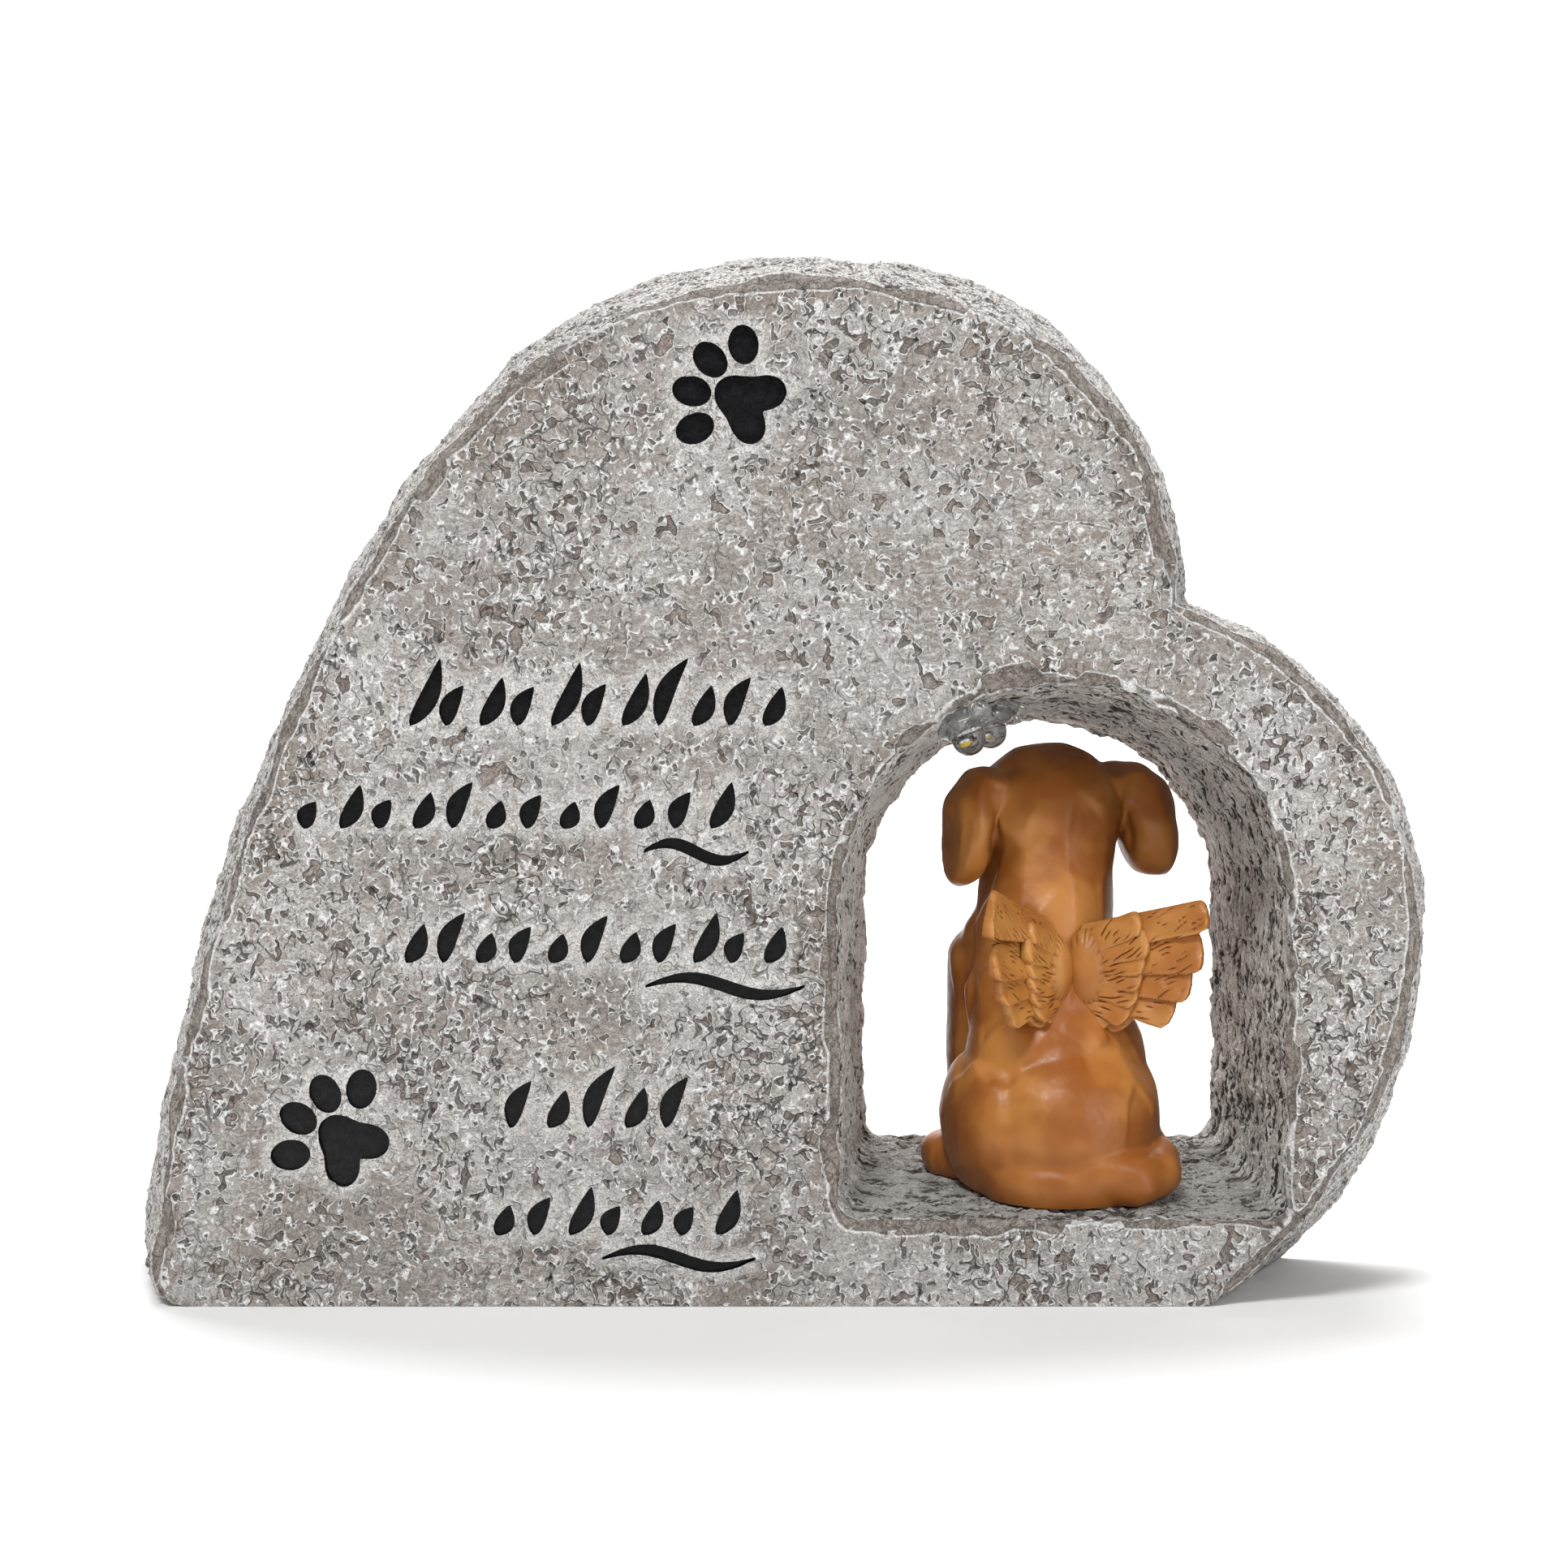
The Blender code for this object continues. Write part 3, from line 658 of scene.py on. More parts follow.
def relief(n, at, lining, side, chip):
    """Heights in millimetres and masks of the cast stone's skin; at is in millimetres."""
    bend = n.jitter(at, 0.45, 1.0, 0.55)
    bent = n.moved(at, n.scaled(bend, 2.8))
    # Three families of pits, from broad to small, each thicker in its own patches.
    patches = n.parts(n.noise(at, 0.035, 1.0, 0.6, colour=True))
    ragged = n.jitter(at, 1.5, 0.0, 0.5)
    torn = n.moved(bent, n.scaled(ragged, 1.1))
    pits, rims, pit_foot_shades = [], [], []
    for scale, detail, few, many, patch, flatten in (
        (0.26, 2.0, 0.325, 0.395, 0, (1.0, 1.0, 0.84)),
        (0.50, 1.0, 0.300, 0.395, 1, (0.80, 1.0, 1.0)),
        (0.95, 0.0, 0.230, 0.335, 2, (1.0, 1.0, 0.60)),
    ):
        moved = n.stretched(n.moved(bent, (31.0 * patch, 7.0 * patch, -13.0 * patch)), flatten)
        value = n.noise(moved, scale, detail, 0.55)
        limit = n.step(patches[patch], 0.36, 0.64, few, many)
        edge = n.times(n.minus(value, limit), 1.7 / scale)
        pits.append(n.step(edge, -0.16, 0.03, 1.0, 0.0))
        rims.append(n.band(edge, -0.03, 0.03, 0.10, 0.24))
        # A ring at the foot of each pit's wall, which the stone's colour darkens as painted shade.
        pit_foot_shades.append(n.band(edge, -0.42, -0.20, -0.08, 0.01))
    pit = n.most(n.most(pits[0], pits[1]), pits[2])
    rim = n.most(n.most(rims[0], rims[1]), rims[2])
    rim = n.times(rim, n.minus(1.0, pit))
    foot = n.most(n.most(pit_foot_shades[0], pit_foot_shades[1]), pit_foot_shades[2])
    # Wormy creases, long in some patches, and short scratches gouged everywhere.
    worm = n.noise(n.moved(bent, (90.0, 40.0, 10.0)), 0.30, 0.0)
    crease = n.crack(worm, 0.004, 0.020)
    crease = n.times(crease, n.step(patches[1], 0.54, 0.66))
    gouge = n.noise(n.stretched(n.moved(bent, (9.0, 60.0, 33.0)), (1.0, 1.0, 0.55)), 0.62, 0.0)
    gouge = n.crack(gouge, 0.006, 0.034)
    short = n.step(n.noise(n.moved(at, (3.0, 0.0, 71.0)), 0.42, 0.0), 0.50, 0.58)
    gouge = n.times(n.times(gouge, short), n.step(patches[2], 0.42, 0.58, 0.5, 1.0))
    crease = n.most(crease, gouge)
    # Fine scribbled grain with crisp little edges.
    etched = n.noise(n.moved(at, n.scaled(ragged, 0.9)), 1.5, 2.0, 0.6)
    # Bark-like streaks that follow the arch inside the window.
    streaked = n.stretched(n.moved(torn, n.scaled(bend, 2.2)), (0.24, 1.0, 0.24))
    bark = n.noise(streaked, 0.85, 1.0, 0.55)
    grain = n.noise(at, 1.5, 2.0, 0.65)
    crumbs = n.noise(bent, 0.55, 2.0, 0.6)
    face = n.plus(n.times(pit, -0.50), n.times(rim, 0.10))
    face = n.minus(face, n.times(crease, 0.35))
    face = n.plus(face, n.line(grain, 0.30, -0.15))
    face = n.plus(face, n.step(etched, 0.46, 0.54, -0.09, 0.09))
    rough = n.plus(n.times(pit, -0.55), n.line(crumbs, 2.6, -1.45))
    rough = n.math("MINIMUM", rough, 0.25)
    streaks = n.plus(n.line(bark, 2.0, -1.1), n.times(pit, -0.20))
    height = n.blend(side, face, rough)
    height = n.blend(lining, height, streaks)
    smooth = n.step(chip, -0.10, 0.12)
    height = n.blend(smooth, height, n.line(crumbs, 0.5, -0.30))
    return {
        "height": height, "pit": pit, "rim": rim, "foot": foot, "crease": crease, "bark": bark,
        "grain": grain, "crumbs": crumbs, "patches": patches, "chip": smooth, "bent": bent, "etched": etched,
    }


def relief_modifier(obj):
    tree = bpy.data.node_groups.new("stone_relief", "GeometryNodeTree")
    tree.interface.new_socket("Geometry", in_out="INPUT", socket_type="NodeSocketGeometry")
    tree.interface.new_socket("Geometry", in_out="OUTPUT", socket_type="NodeSocketGeometry")
    n = Nodes(tree)
    entry, leave = n.add("NodeGroupInput"), n.add("NodeGroupOutput")

    def named(name, kind="FLOAT"):
        node = n.add("GeometryNodeInputNamedAttribute", data_type=kind)
        node.inputs["Name"].default_value = name
        return node.outputs[0]

    at = n.scaled(named("rest", "FLOAT_VECTOR"), MM)
    made = relief(n, at, named("lining"), named("side"), n.times(named("chip"), MM))
    amount = n.times(n.times(made["height"], 0.001), named("hold"))
    offset = n.scaled(named("out", "FLOAT_VECTOR"), amount)
    move = n.add("GeometryNodeSetPosition")
    n.put(move.inputs["Geometry"], entry.outputs[0])
    n.put(move.inputs["Offset"], offset)
    n.put(leave.inputs[0], move.outputs[0])
    step = obj.modifiers.new("relief", "NODES")
    step.node_group = tree
    return step


def rims():
    """Dense outlines of the three edges that are broken, each with its outward normals."""
    made = []
    for flat in (
        outline(1, FACE_WIDTH, FACE_HEIGHT),
        arch_outline(FRONT),
        outline(0, STONE_WIDTH, STONE_HEIGHT),
    ):
        points = dense(flat)
        normals = outward(points)
        made.append((np.array([p[:] for p in points]), np.array([p[:] for p in normals])))
    return made


RIMS = rims()


def masks(mesh, rest, normals):
    """Stores what the relief and the material read at each vertex."""
    inside_arch = arch_distance(rest)
    between = (rest[:, 1] > FRONT + FACE_SKIN) & (rest[:, 1] < BACK - FACE_SKIN)
    wall = np.abs(normals[:, 1]) < FLAT_FACE
    lining = ((inside_arch < LINING_REACH) & wall).astype(float)
    side = ((inside_arch >= LINING_REACH) & wall & between).astype(float)
    chip, push = chipped(rest, *RIMS)
    write_attribute(mesh, "rest", rest, "FLOAT_VECTOR")
    write_attribute(mesh, "lining", lining)
    write_attribute(mesh, "side", side)
    write_attribute(mesh, "chip", chip)
    return chip, push


def vertex_normals(mesh):
    flat = np.empty(len(mesh.vertices) * 3)
    mesh.vertex_normals.foreach_get("vector", flat)
    return flat.reshape(-1, 3)


def near_carving(points):
    """Distance in the face from each point to the nearest carved outline, 0 inside."""
    samples = []
    for shape in CARVED:
        samples += [p[:] for p in dense(shape, 0.0005)]
    samples = np.array(samples)
    distance = np.full(len(points), 0.02)
    index = np.nonzero(points[:, 1] < FRONT + 0.003)[0]
    which, gap = nearest_on(points[index][:, (0, 2)], samples)
    distance[index] = gap
    return distance


def build_stone(stone_mat, paint_mat):
    base = stone_block()
    window = window_cutter()
    carve(base, window)
    rest_tree = BVHTree.FromPolygons(
        [v.co[:] for v in base.data.vertices], [p.vertices[:] for p in base.data.polygons]
    )
    voxels(base, STONE_GRAIN * (1))
    baked(base)
    mesh = base.data
    rest = coords(mesh)
    normals = vertex_normals(mesh)
    chip, push = masks(mesh, rest, normals)
    # The underside, the lamp sockets and the panel's surroundings stay as the frame has them.
    hold = np.clip(rest[:, 2] / BASE_FADE, 0, 1)
    panel = np.maximum(np.abs(rest[:, 0] - PANEL_X), np.abs(rest[:, 2] - PANEL_Z)) - PANEL_SIDE / 2
    free = np.clip((panel - PANEL_CLEAR) / PANEL_FADE, 0, 1)
    hold = np.where(rest[:, 1] > BACK - PANEL_FADE, hold * free, hold)
    write_attribute(mesh, "hold", hold)
    write_attribute(mesh, "out", normals, "FLOAT_VECTOR")
    put_coords(mesh, rest + push)
    relief_modifier(base)
    baked(base)
    placed = coords(base.data)
    placed[:, 2] = np.maximum(placed[:, 2], 0.0)
    put_coords(base.data, placed)
    thin = base.modifiers.new("thin", "DECIMATE")
    thin.ratio = min(1.0, STONE_TRIANGLES / triangles(base))
    baked(base)
    base.data.materials.clear()
    base.data.materials.append(stone_mat)
    cutters = [carving_cutter(paint_mat), panel_recess(stone_mat)]
    cutters += [spun(name + "_socket", lamp_profile(GAP), place, stone_mat) for name, place in LAMPS]
    carve(base, *cutters)
    mesh = base.data
    placed = coords(mesh)
    found = [rest_tree.find_nearest(Vector(p)) for p in placed]
    rest = np.array([f[0][:] for f in found])
    normals = np.array([f[1][:] for f in found])
    masks(mesh, rest, normals)
    write_attribute(mesh, "carving", near_carving(rest))
    mesh.shade_smooth()
    mesh.set_sharp_from_angle(angle=math.radians(62))
    return base


def panel_recess(mat):
    bm = bmesh.new()
    side = PANEL_SIDE + 2 * GAP
    low, high = BACK + PANEL_PROUD - PANEL_THICKNESS - GAP, BACK + PAST
    size = Matrix.Diagonal((side, high - low, side, 1))
    place = Matrix.Translation((PANEL_X, (low + high) / 2, PANEL_Z))
    bmesh.ops.create_cube(bm, size=1, matrix=place @ size)
    upright = [e for e in bm.edges if abs((e.verts[0].co - e.verts[1].co).y) > 1e-6]
    bmesh.ops.bevel(bm, geom=upright, offset=0.004 + GAP, segments=8, affect="EDGES", profile=0.5)
    return from_bmesh("recess", bm, mat)


# Lamps.
def lamp_place(behind, left, hang, axis):
    y = FRONT + behind
    z = ARCH_SPRING + math.sqrt(arch_radius(y) ** 2 - left ** 2)
    down = Vector(axis).normalized()
    at = Vector((ARCH_X - left, y, z)) + down * (BULB_FLANGE_HEIGHT + hang)
    turn = Vector((0, 0, -1)).rotation_difference(down).to_matrix().to_4x4()
    return Matrix.Translation(at) @ turn


LAMPS = [(name, lamp_place(*where)) for name, *where in BULBS]


def spun(name, profile, place, mat, steps=48):
    """A solid of revolution from (radius, height) points, top to bottom."""
    bm = bmesh.new()
    rows = []
    for radius, height in profile:
        if radius < 1e-7:
            rows.append([bm.verts.new((0, 0, height))])
        else:
            rows.append([
                bm.verts.new((radius * math.cos(a), radius * math.sin(a), height))
                for a in (2 * math.pi * i / steps for i in range(steps))
            ])
    for upper, lower in zip(rows, rows[1:]):
        for i in range(steps):
            j = (i + 1) % steps
            ring = [upper[i % len(upper)], upper[j % len(upper)], lower[j % len(lower)], lower[i % len(lower)]]
            corners = list(dict.fromkeys(ring))
            if len(corners) > 2:
                bm.faces.new(corners)
    bm.transform(place)
    return from_bmesh(name, bm, mat)


def lamp_profile(grow=0.0, rounds=14):
    straight = BULB_DOME - BULB_RADIUS
    top = BULB_FLANGE_HEIGHT
    profile = [
        (0, top + BULB_STEM + grow),
        (BULB_STEM_RADIUS + grow, top + BULB_STEM + grow),
        (BULB_STEM_RADIUS + grow, top + grow),
        (BULB_FLANGE + grow, top + grow),
        (BULB_FLANGE + grow, -grow),
        (BULB_RADIUS + grow, -grow),
    ]
    dome = BULB_RADIUS + grow
    for i in range(rounds):
        angle = math.pi / 2 * i / rounds
        profile.append((dome * math.cos(angle), -straight - dome * math.sin(angle)))
    return profile + [(0, -straight - dome)]


# Winged dog.
FIGURE_HEIGHT, FIGURE_UNITS = 0.0676, 68.0
FIGURE_LEFT_OF_ARCH, FIGURE_BEHIND_MIDDLE = 0.0005, -0.0012
FIGURE_YAW = math.radians(17)
FIGURE_GRAIN = 0.00036
FACET_PITCH, FACET_SHARE, FACET_TRIES = 0.0046, 0.55, 9000
FACET_BLEND, FACET_DEPTH = 0.0005, 0.0009
WING_ROOT = (1.5, -8.0, 36.0)
WINGS = {-1: (math.radians(35), 0.86, 4.8), 1: (math.radians(40), 0.97, 0.0)}
FLIGHT_FEATHERS = ((8.8, -10.2, 1.9), (16.6, -7.6, 2.4), (19.6, -2.9, 2.4), (21.6, 2.3, 2.5), (22.4, 9.2, 2.2))
COVERTS = (
    (5.3, -10.6, 1.9), (9.4, -8.6, 1.7), (10.9, -5.6, 1.4), (11.7, -2.7, 1.35),
    (12.3, 0.2, 1.35), (13.0, 3.4, 1.6), (11.6, 7.2, 1.9),
)
HEAD_SHIFT = 2.6
SIDES = {-1: (11, 14.4, 11.4, 3.2), 1: (16, 16.1, 9.5, 4.1)}
TAIL = (
    (0, -17, 5, 4.6), (6.5, -20, 4, 4.2), (11.2, -18, 4.2, 3.7), (13.8, -12.5, 5.4, 3.1), (13.8, -8, 7.4, 2.4),
)


def ball(forms, centre, radii, turn=None):
    size = Matrix.Diagonal((*radii, 1))
    forms.append(Matrix.Translation(centre) @ (turn or Matrix()) @ size)


def limb(forms, points):
    for first, second in zip(points, points[1:]):
        a, b = Vector(first), Vector(second)
        steps = max(2, int((a - b).length / (0.25 * min(a[3], b[3]))))
        for i in range(steps + 1):
            x, y, z, radius = a.lerp(b, i / steps)
            ball(forms, (x, y, z), (radius, radius, radius))


def head_forms(forms):
    x = HEAD_SHIFT
    ball(forms, (x, 6.5, 56.6), (12.2, 11.2, 11.4))
    ball(forms, (x, 16.0, 54.5), (5.8, 7.6, 5.0))
    ball(forms, (x, 14.0, 51.2), (4.6, 7.0, 2.8))
    ball(forms, (x, 22.6, 56.4), (2.3, 1.6, 1.7))
    for side, (splay, ear, _, half) in SIDES.items():
        hang = Matrix.Rotation(math.radians(-splay * side), 4, "Y")
        ball(forms, (x + side * ear, 4.5, 55.4), (half, 6.4, 9.4), hang)
        ball(forms, (x + side * (ear - 0.2), 4.5, 57.6), (half + 0.5, 5.4, 5.6), hang)
        ball(forms, (x + side * (ear + 0.2), 4.5, 51.8), (half + 0.2, 5.4, 5.2), hang)
        ball(forms, (x + side * 11.0, 5.0, 60.6), (5.0, 5.4, 4.0))
        ball(forms, (x + side * 4.2, 14.2, 59.6), (3.2, 2.6, 2.3))


def body_forms(forms):
    lean = Matrix.Rotation(math.radians(-12), 4, "X")
    ball(forms, (0, -9.0, 3.0), (14.6, 12.6, 8.0))
    ball(forms, (0, -8.5, 11.0), (14.6, 12.8, 13.0))
    ball(forms, (0, -3.5, 19.0), (14.4, 12.0, 15.5), lean)
    ball(forms, (0, -0.5, 28.0), (13.2, 11.6, 17.0), lean)
    ball(forms, (0, 5.0, 35.0), (12.0, 9.8, 12.5))
    limb(forms, ((0, 2.5, 38, 11.0), (HEAD_SHIFT, 5.0, 51, 10.4)))
    for side, (_, _, haunch, _) in SIDES.items():
        ball(forms, (side * haunch, -3.5, 10.5), (6.6, 12.2, 11.6))
        ball(forms, (side * 13.4, 8.0, 2.6), (4.3, 7.6, 4.0))
        limb(forms, ((side * 7.2, 8.5, 33, 6.0), (side * 7.4, 13.0, 18, 4.6), (side * 7.0, 14.5, 3, 3.9)))
        ball(forms, (side * 7.0, 17.0, 2.2), (4.3, 5.4, 3.4))
    limb(forms, TAIL)


def on_sill(point):
    scale = FIGURE_HEIGHT / FIGURE_UNITS
    turned_point = Matrix.Rotation(FIGURE_YAW, 3, "Z") @ Vector(point) * scale
    x = ARCH_X - FIGURE_LEFT_OF_ARCH + turned_point.x
    y = FIGURE_BEHIND_MIDDLE + turned_point.y
    return Vector((x, y, sill_height(y) + turned_point.z))


def facet_planes(mesh, pitch, share):
    """Pares a rounded mesh into soft hand-cut planes about pitch wide, taller than wide."""
    points, normals = coords(mesh), vertex_normals(mesh)
    stretch = np.array([1.0, 1.0, 0.42])
    rng = random.Random(11)
    order = list(range(len(points)))
    rng.shuffle(order)
    seeds, grid = [], {}
    for i in order[:FACET_TRIES]:
        spot = points[i] * stretch
        cell = tuple(int(v // pitch) for v in spot)
        around = [tuple(c + d for c, d in zip(cell, step)) for step in product((-1, 0, 1), repeat=3)]
        taken = (j for where in around for j in grid.get(where, ()))
        if not any(np.linalg.norm(points[j] * stretch - spot) < pitch for j in taken):
            grid.setdefault(cell, []).append(i)
            seeds.append(i)
    tree = KDTree(len(seeds))
    for k, i in enumerate(seeds):
        tree.insert(points[i] * stretch, k)
    tree.balance()
    moved = points.copy()
    for i, point in enumerate(points):
        total, shift = 0.0, np.zeros(3)
        near = tree.find_n(point * stretch, 2)
        gap = near[1][2] - near[0][2] if len(near) > 1 else 1.0
        for (_, k, _), weight in zip(near, (1.0, max(0.0, 1 - gap / FACET_BLEND))):
            j = seeds[k]
            if float(normals[j] @ normals[i]) < 0.3:
                continue
            height = float((point - points[j]) @ normals[j])
            # The lower body is pared only half as much as the head.
            soft = 0.5 + 0.5 * min(1.0, max(0.0, (point[2] - 0.030) / 0.020))
            shift += -share * soft * max(-FACET_DEPTH, min(FACET_DEPTH, height)) * normals[j] * weight
            total += weight
        if total:
            moved[i] = point + shift / total
    put_coords(mesh, moved)


def build_dog(mat):
    forms = []
    body_forms(forms)
    head_forms(forms)
    unit = bmesh.new()
    bmesh.ops.create_uvsphere(unit, u_segments=48, v_segments=28, radius=1)
    ball_mesh = bpy.data.meshes.new("ball")
    unit.to_mesh(ball_mesh)
    unit.free()
    bm = bmesh.new()
    for form in forms:
        one = ball_mesh.copy()
        one.transform(form)
        bm.from_mesh(one)
        bpy.data.meshes.remove(one)
    bpy.data.meshes.remove(ball_mesh)
    for vert in bm.verts:
        vert.co = on_sill(vert.co)
    dog = from_bmesh("dog_body", bm, mat)
    voxels(dog, FIGURE_GRAIN * (1), smooth=True)
    soften(dog, 14)
    baked(dog)
    facet_planes(dog.data, FACET_PITCH, FACET_SHARE)
    soften(dog, 10)
    profile = [(y, sill_height(y) + GAP) for y in (FRONT - 0.02, BACK + 0.02)]
    rings = []
    for x in (ARCH_X - 2 * ARCH_RADIUS, ARCH_X + 2 * ARCH_RADIUS):
        rings.append([(x, y, z) for y, z in profile] + [(x, y, z - 0.02) for y, z in profile[::-1]])
    ground = from_bmesh("sill_ground", loft(rings), mat)
    carve(dog, ground)
    dog.data.shade_smooth()
    dog.data.set_sharp_from_angle(angle=math.radians(60))
    return dog


def feathers_at(u, v, layer):
    """Lift, groove shade and whether a point is covered, for arrays of places in one wing layer."""
    row, start, base, tilt, reach_down, pitch = layer
    lift = np.full(u.shape, base - 1.2)
    groove = np.full(u.shape, 0.5)
    covered = np.zeros(u.shape, bool)
    for i, (end_u, end_v, half) in enumerate(row):
        foot = np.array([start, 0.42 * end_v])
        axis = np.array([end_u, end_v]) - foot
        length = float(np.hypot(*axis))
        axis /= length
        s = (u - foot[0]) * axis[0] + (v - foot[1]) * axis[1]
        t = (v - foot[1]) * axis[0] - (u - foot[0]) * axis[1]
        share = np.clip(s / length, 0, 1)
        # The feather bends a little upwards to its tip, and each lies over the one below it.
        t = t - 0.5 * share ** 3
        last = i == len(row) - 1
        low = half + 0.2 + (reach_down * share if last else 0.45)
        high = half * (1 - 0.25 * share ** 2) + (0.0 if last else 1.3)
        blunt = 1.5
        past = np.clip((s - (length - blunt)) / blunt, 0, 1)
        rounded = np.sqrt(np.maximum(0, 1 - past ** 3))
        inside = (s > -2.0) & (s < length) & (t > -low * rounded) & (t < high * rounded)
        from_low, from_high = t + low * rounded, high * rounded - t
        place = from_low / np.maximum((low + high) * rounded, 1e-6)
        height = base + tilt * (0.5 - place) - 0.35 * np.exp(-((from_low / 0.32) ** 2))
        height = height - (0.5 * np.exp(-((from_high / 0.5) ** 2)) if last else 0) - 0.45 * past ** 3
        height = height + 0.12 * np.sin(0.9 * s + 1.7 * i) * np.sin(1.1 * t + i)
        # Incised strokes: parallel, slanting off the quill, each with its own start and end.
        slant = math.radians(24 + 9 * math.sin(2.3 * i + start))
        q = (s + 0.35 * np.sin(0.9 * t + i)) * math.sin(slant) - t * math.cos(slant)
        q = q + 0.12 * np.sin(1.4 * s + i)
        r = s * math.cos(slant) + t * math.sin(slant)
        line = np.round(q / pitch)
        shift = np.modf(np.abs(np.sin(line * 12.9898 + i * 78.233)) * 437.585)[0]
        stretch = 5.2 + 2.6 * shift
        dash = np.modf(np.abs(r / stretch + 7 * shift + 10))[0]
        drawn = np.clip(dash / 0.10, 0, 1) * np.clip((0.26 + 0.40 * shift - dash) / 0.14, 0, 1)
        cut = np.exp(-(((q - line * pitch) / 0.115) ** 2)) * drawn
        cut = cut * np.clip(from_low / 0.5, 0, 1) * np.clip((length - s) / 1.6, 0, 1) * np.clip(s / 1.5, 0, 1)
        height = height - 0.32 * cut
        higher = inside & (height > lift)
        lift = np.where(higher, height, lift)
        # Painted shade in the incised strokes and where a feather lies under the overlapping one; the lower
        # edges and tips are paler.
        shade_under_overlap = np.clip((place - 0.72) / 0.28, 0, 1) * (0.0 if last else 0.55)
        pale = 0.4 * np.exp(-((from_low / 0.55) ** 2)) + 0.4 * past ** 2
        groove = np.where(higher, np.maximum(cut, shade_under_overlap) - pale * (cut < 0.2), groove)
        covered |= inside
    return lift, groove, covered


def feather_layer(layer, steps):
    """Rows of (span, height, lift, groove shade) along rays that end where the layer ends."""
    angles = np.radians(np.linspace(-78, 78, steps + 1))
    far = np.linspace(0, 30, 301)
    u, v = np.outer(np.cos(angles), far), np.outer(np.sin(angles), far)
    covered = feathers_at(u, v, layer)[2]
    last = np.where(covered.any(axis=1), 300 - np.argmax(covered[:, ::-1], axis=1), 0)
    reach = np.maximum(far[last], 2.5)
    along = int(steps * 0.62)
    radius = np.outer(reach, np.linspace(0, 1, along + 1))
    u, v = radius * np.cos(angles)[:, None], radius * np.sin(angles)[:, None]
    lift, groove, _ = feathers_at(u, v, layer)
    return np.stack([u, v, lift, groove], axis=2)


def wing(side, mat):
    """One wing: long feathers below, short ones over them, and a smooth shoulder."""
    sweep_angle, size, raised = WINGS[side]
    root = Vector((side * WING_ROOT[0], WING_ROOT[1], WING_ROOT[2]))
    span = Vector((side * math.cos(sweep_angle), -math.sin(sweep_angle), 0))
    rear = Vector((-side * math.sin(sweep_angle), -math.cos(sweep_angle), 0))
    bm = bmesh.new()
    layer_of = bm.verts.layers.float.new("groove")
    steps = 210

    def place(u, v, lift):
        cup = 0.0016 * (u * u + v * v)
        return on_sill(root + (span * u + Vector((0, 0, v))) * size + rear * (lift + cup))

    def corner(u, v, lift, groove):
        vert = bm.verts.new(place(u, v, lift))
        vert[layer_of] = groove
        return vert

    end_u, end_v, end_half = FLIGHT_FEATHERS[-1]
    flight = (*FLIGHT_FEATHERS[:-1], (end_u, end_v + raised, end_half))
    for *layer, inner in (
        (flight, 3.0, 0.6, 1.5, 0.9 + 0.8 * raised, 0.85, -0.9),
        (COVERTS, 1.5, 2.1, 1.0, 0.3, 0.85, 0.4),
    ):
        sheet = feather_layer(layer, steps)
        upper, lower = [], []
        for line in sheet:
            upper.append([corner(u, v, lift, groove) for u, v, lift, groove in line])
            # The underside and the outer edge of each layer carry painted shade.
            below = [corner(u, v, inner, 0.3) for u, v, _, _ in line[::6]]
            lower.append(below + [corner(*line[-1][:2], inner, 0.5)])
        for a, b in zip(upper, upper[1:]):
            for i in range(len(a) - 1):
                bm.faces.new((a[i], a[i + 1], b[i + 1], b[i]))
        for a, b in zip(lower, lower[1:]):
            for i in range(len(a) - 1):
                bm.faces.new((a[i], b[i], b[i + 1], a[i + 1]))
        for (a, b), (c, d) in zip(zip(upper, lower), zip(upper[1:], lower[1:])):
            bm.faces.new((a[-1], b[-1], d[-1], c[-1]))
        for a, b in ((upper[0], lower[0]), (upper[-1], lower[-1])):
            bm.faces.new([*a, *b[::-1]])
    bmesh.ops.remove_doubles(bm, verts=bm.verts[:], dist=0.00002)
    # The shoulder where the wing grows out of the back, scored round its edge.
    dome = bmesh.new()
    scored = dome.verts.layers.float.new("groove")
    bmesh.ops.create_uvsphere(dome, u_segments=120, v_segments=48, radius=1)
    for vert in dome.verts:
        x, y, z = vert.co
        turn = math.atan2(z, x)
        out = math.hypot(x, z)
        ridged = 0.5 + 0.5 * math.cos(19 * turn + 1.2 * math.sin(5 * turn))
        scratch = ridged ** 3 * min(1, max(0, (out - 0.62) / 0.2))
        # Painted shade in the scored lines round the shoulder.
        vert[scored] = scratch * 0.8
        at = root + (span * (2.5 + 3.7 * x) + Vector((0, 0, -1.4 + 6.7 * z))) * size
        vert.co = on_sill(at + rear * (0.9 + (2.9 - 0.3 * scratch) * y))
    take_in(bm, dome)
    obj = from_bmesh("dog_wing_left" if side < 0 else "dog_wing_right", bm, mat)
    obj.data.set_sharp_from_angle(angle=math.radians(55))
    return obj


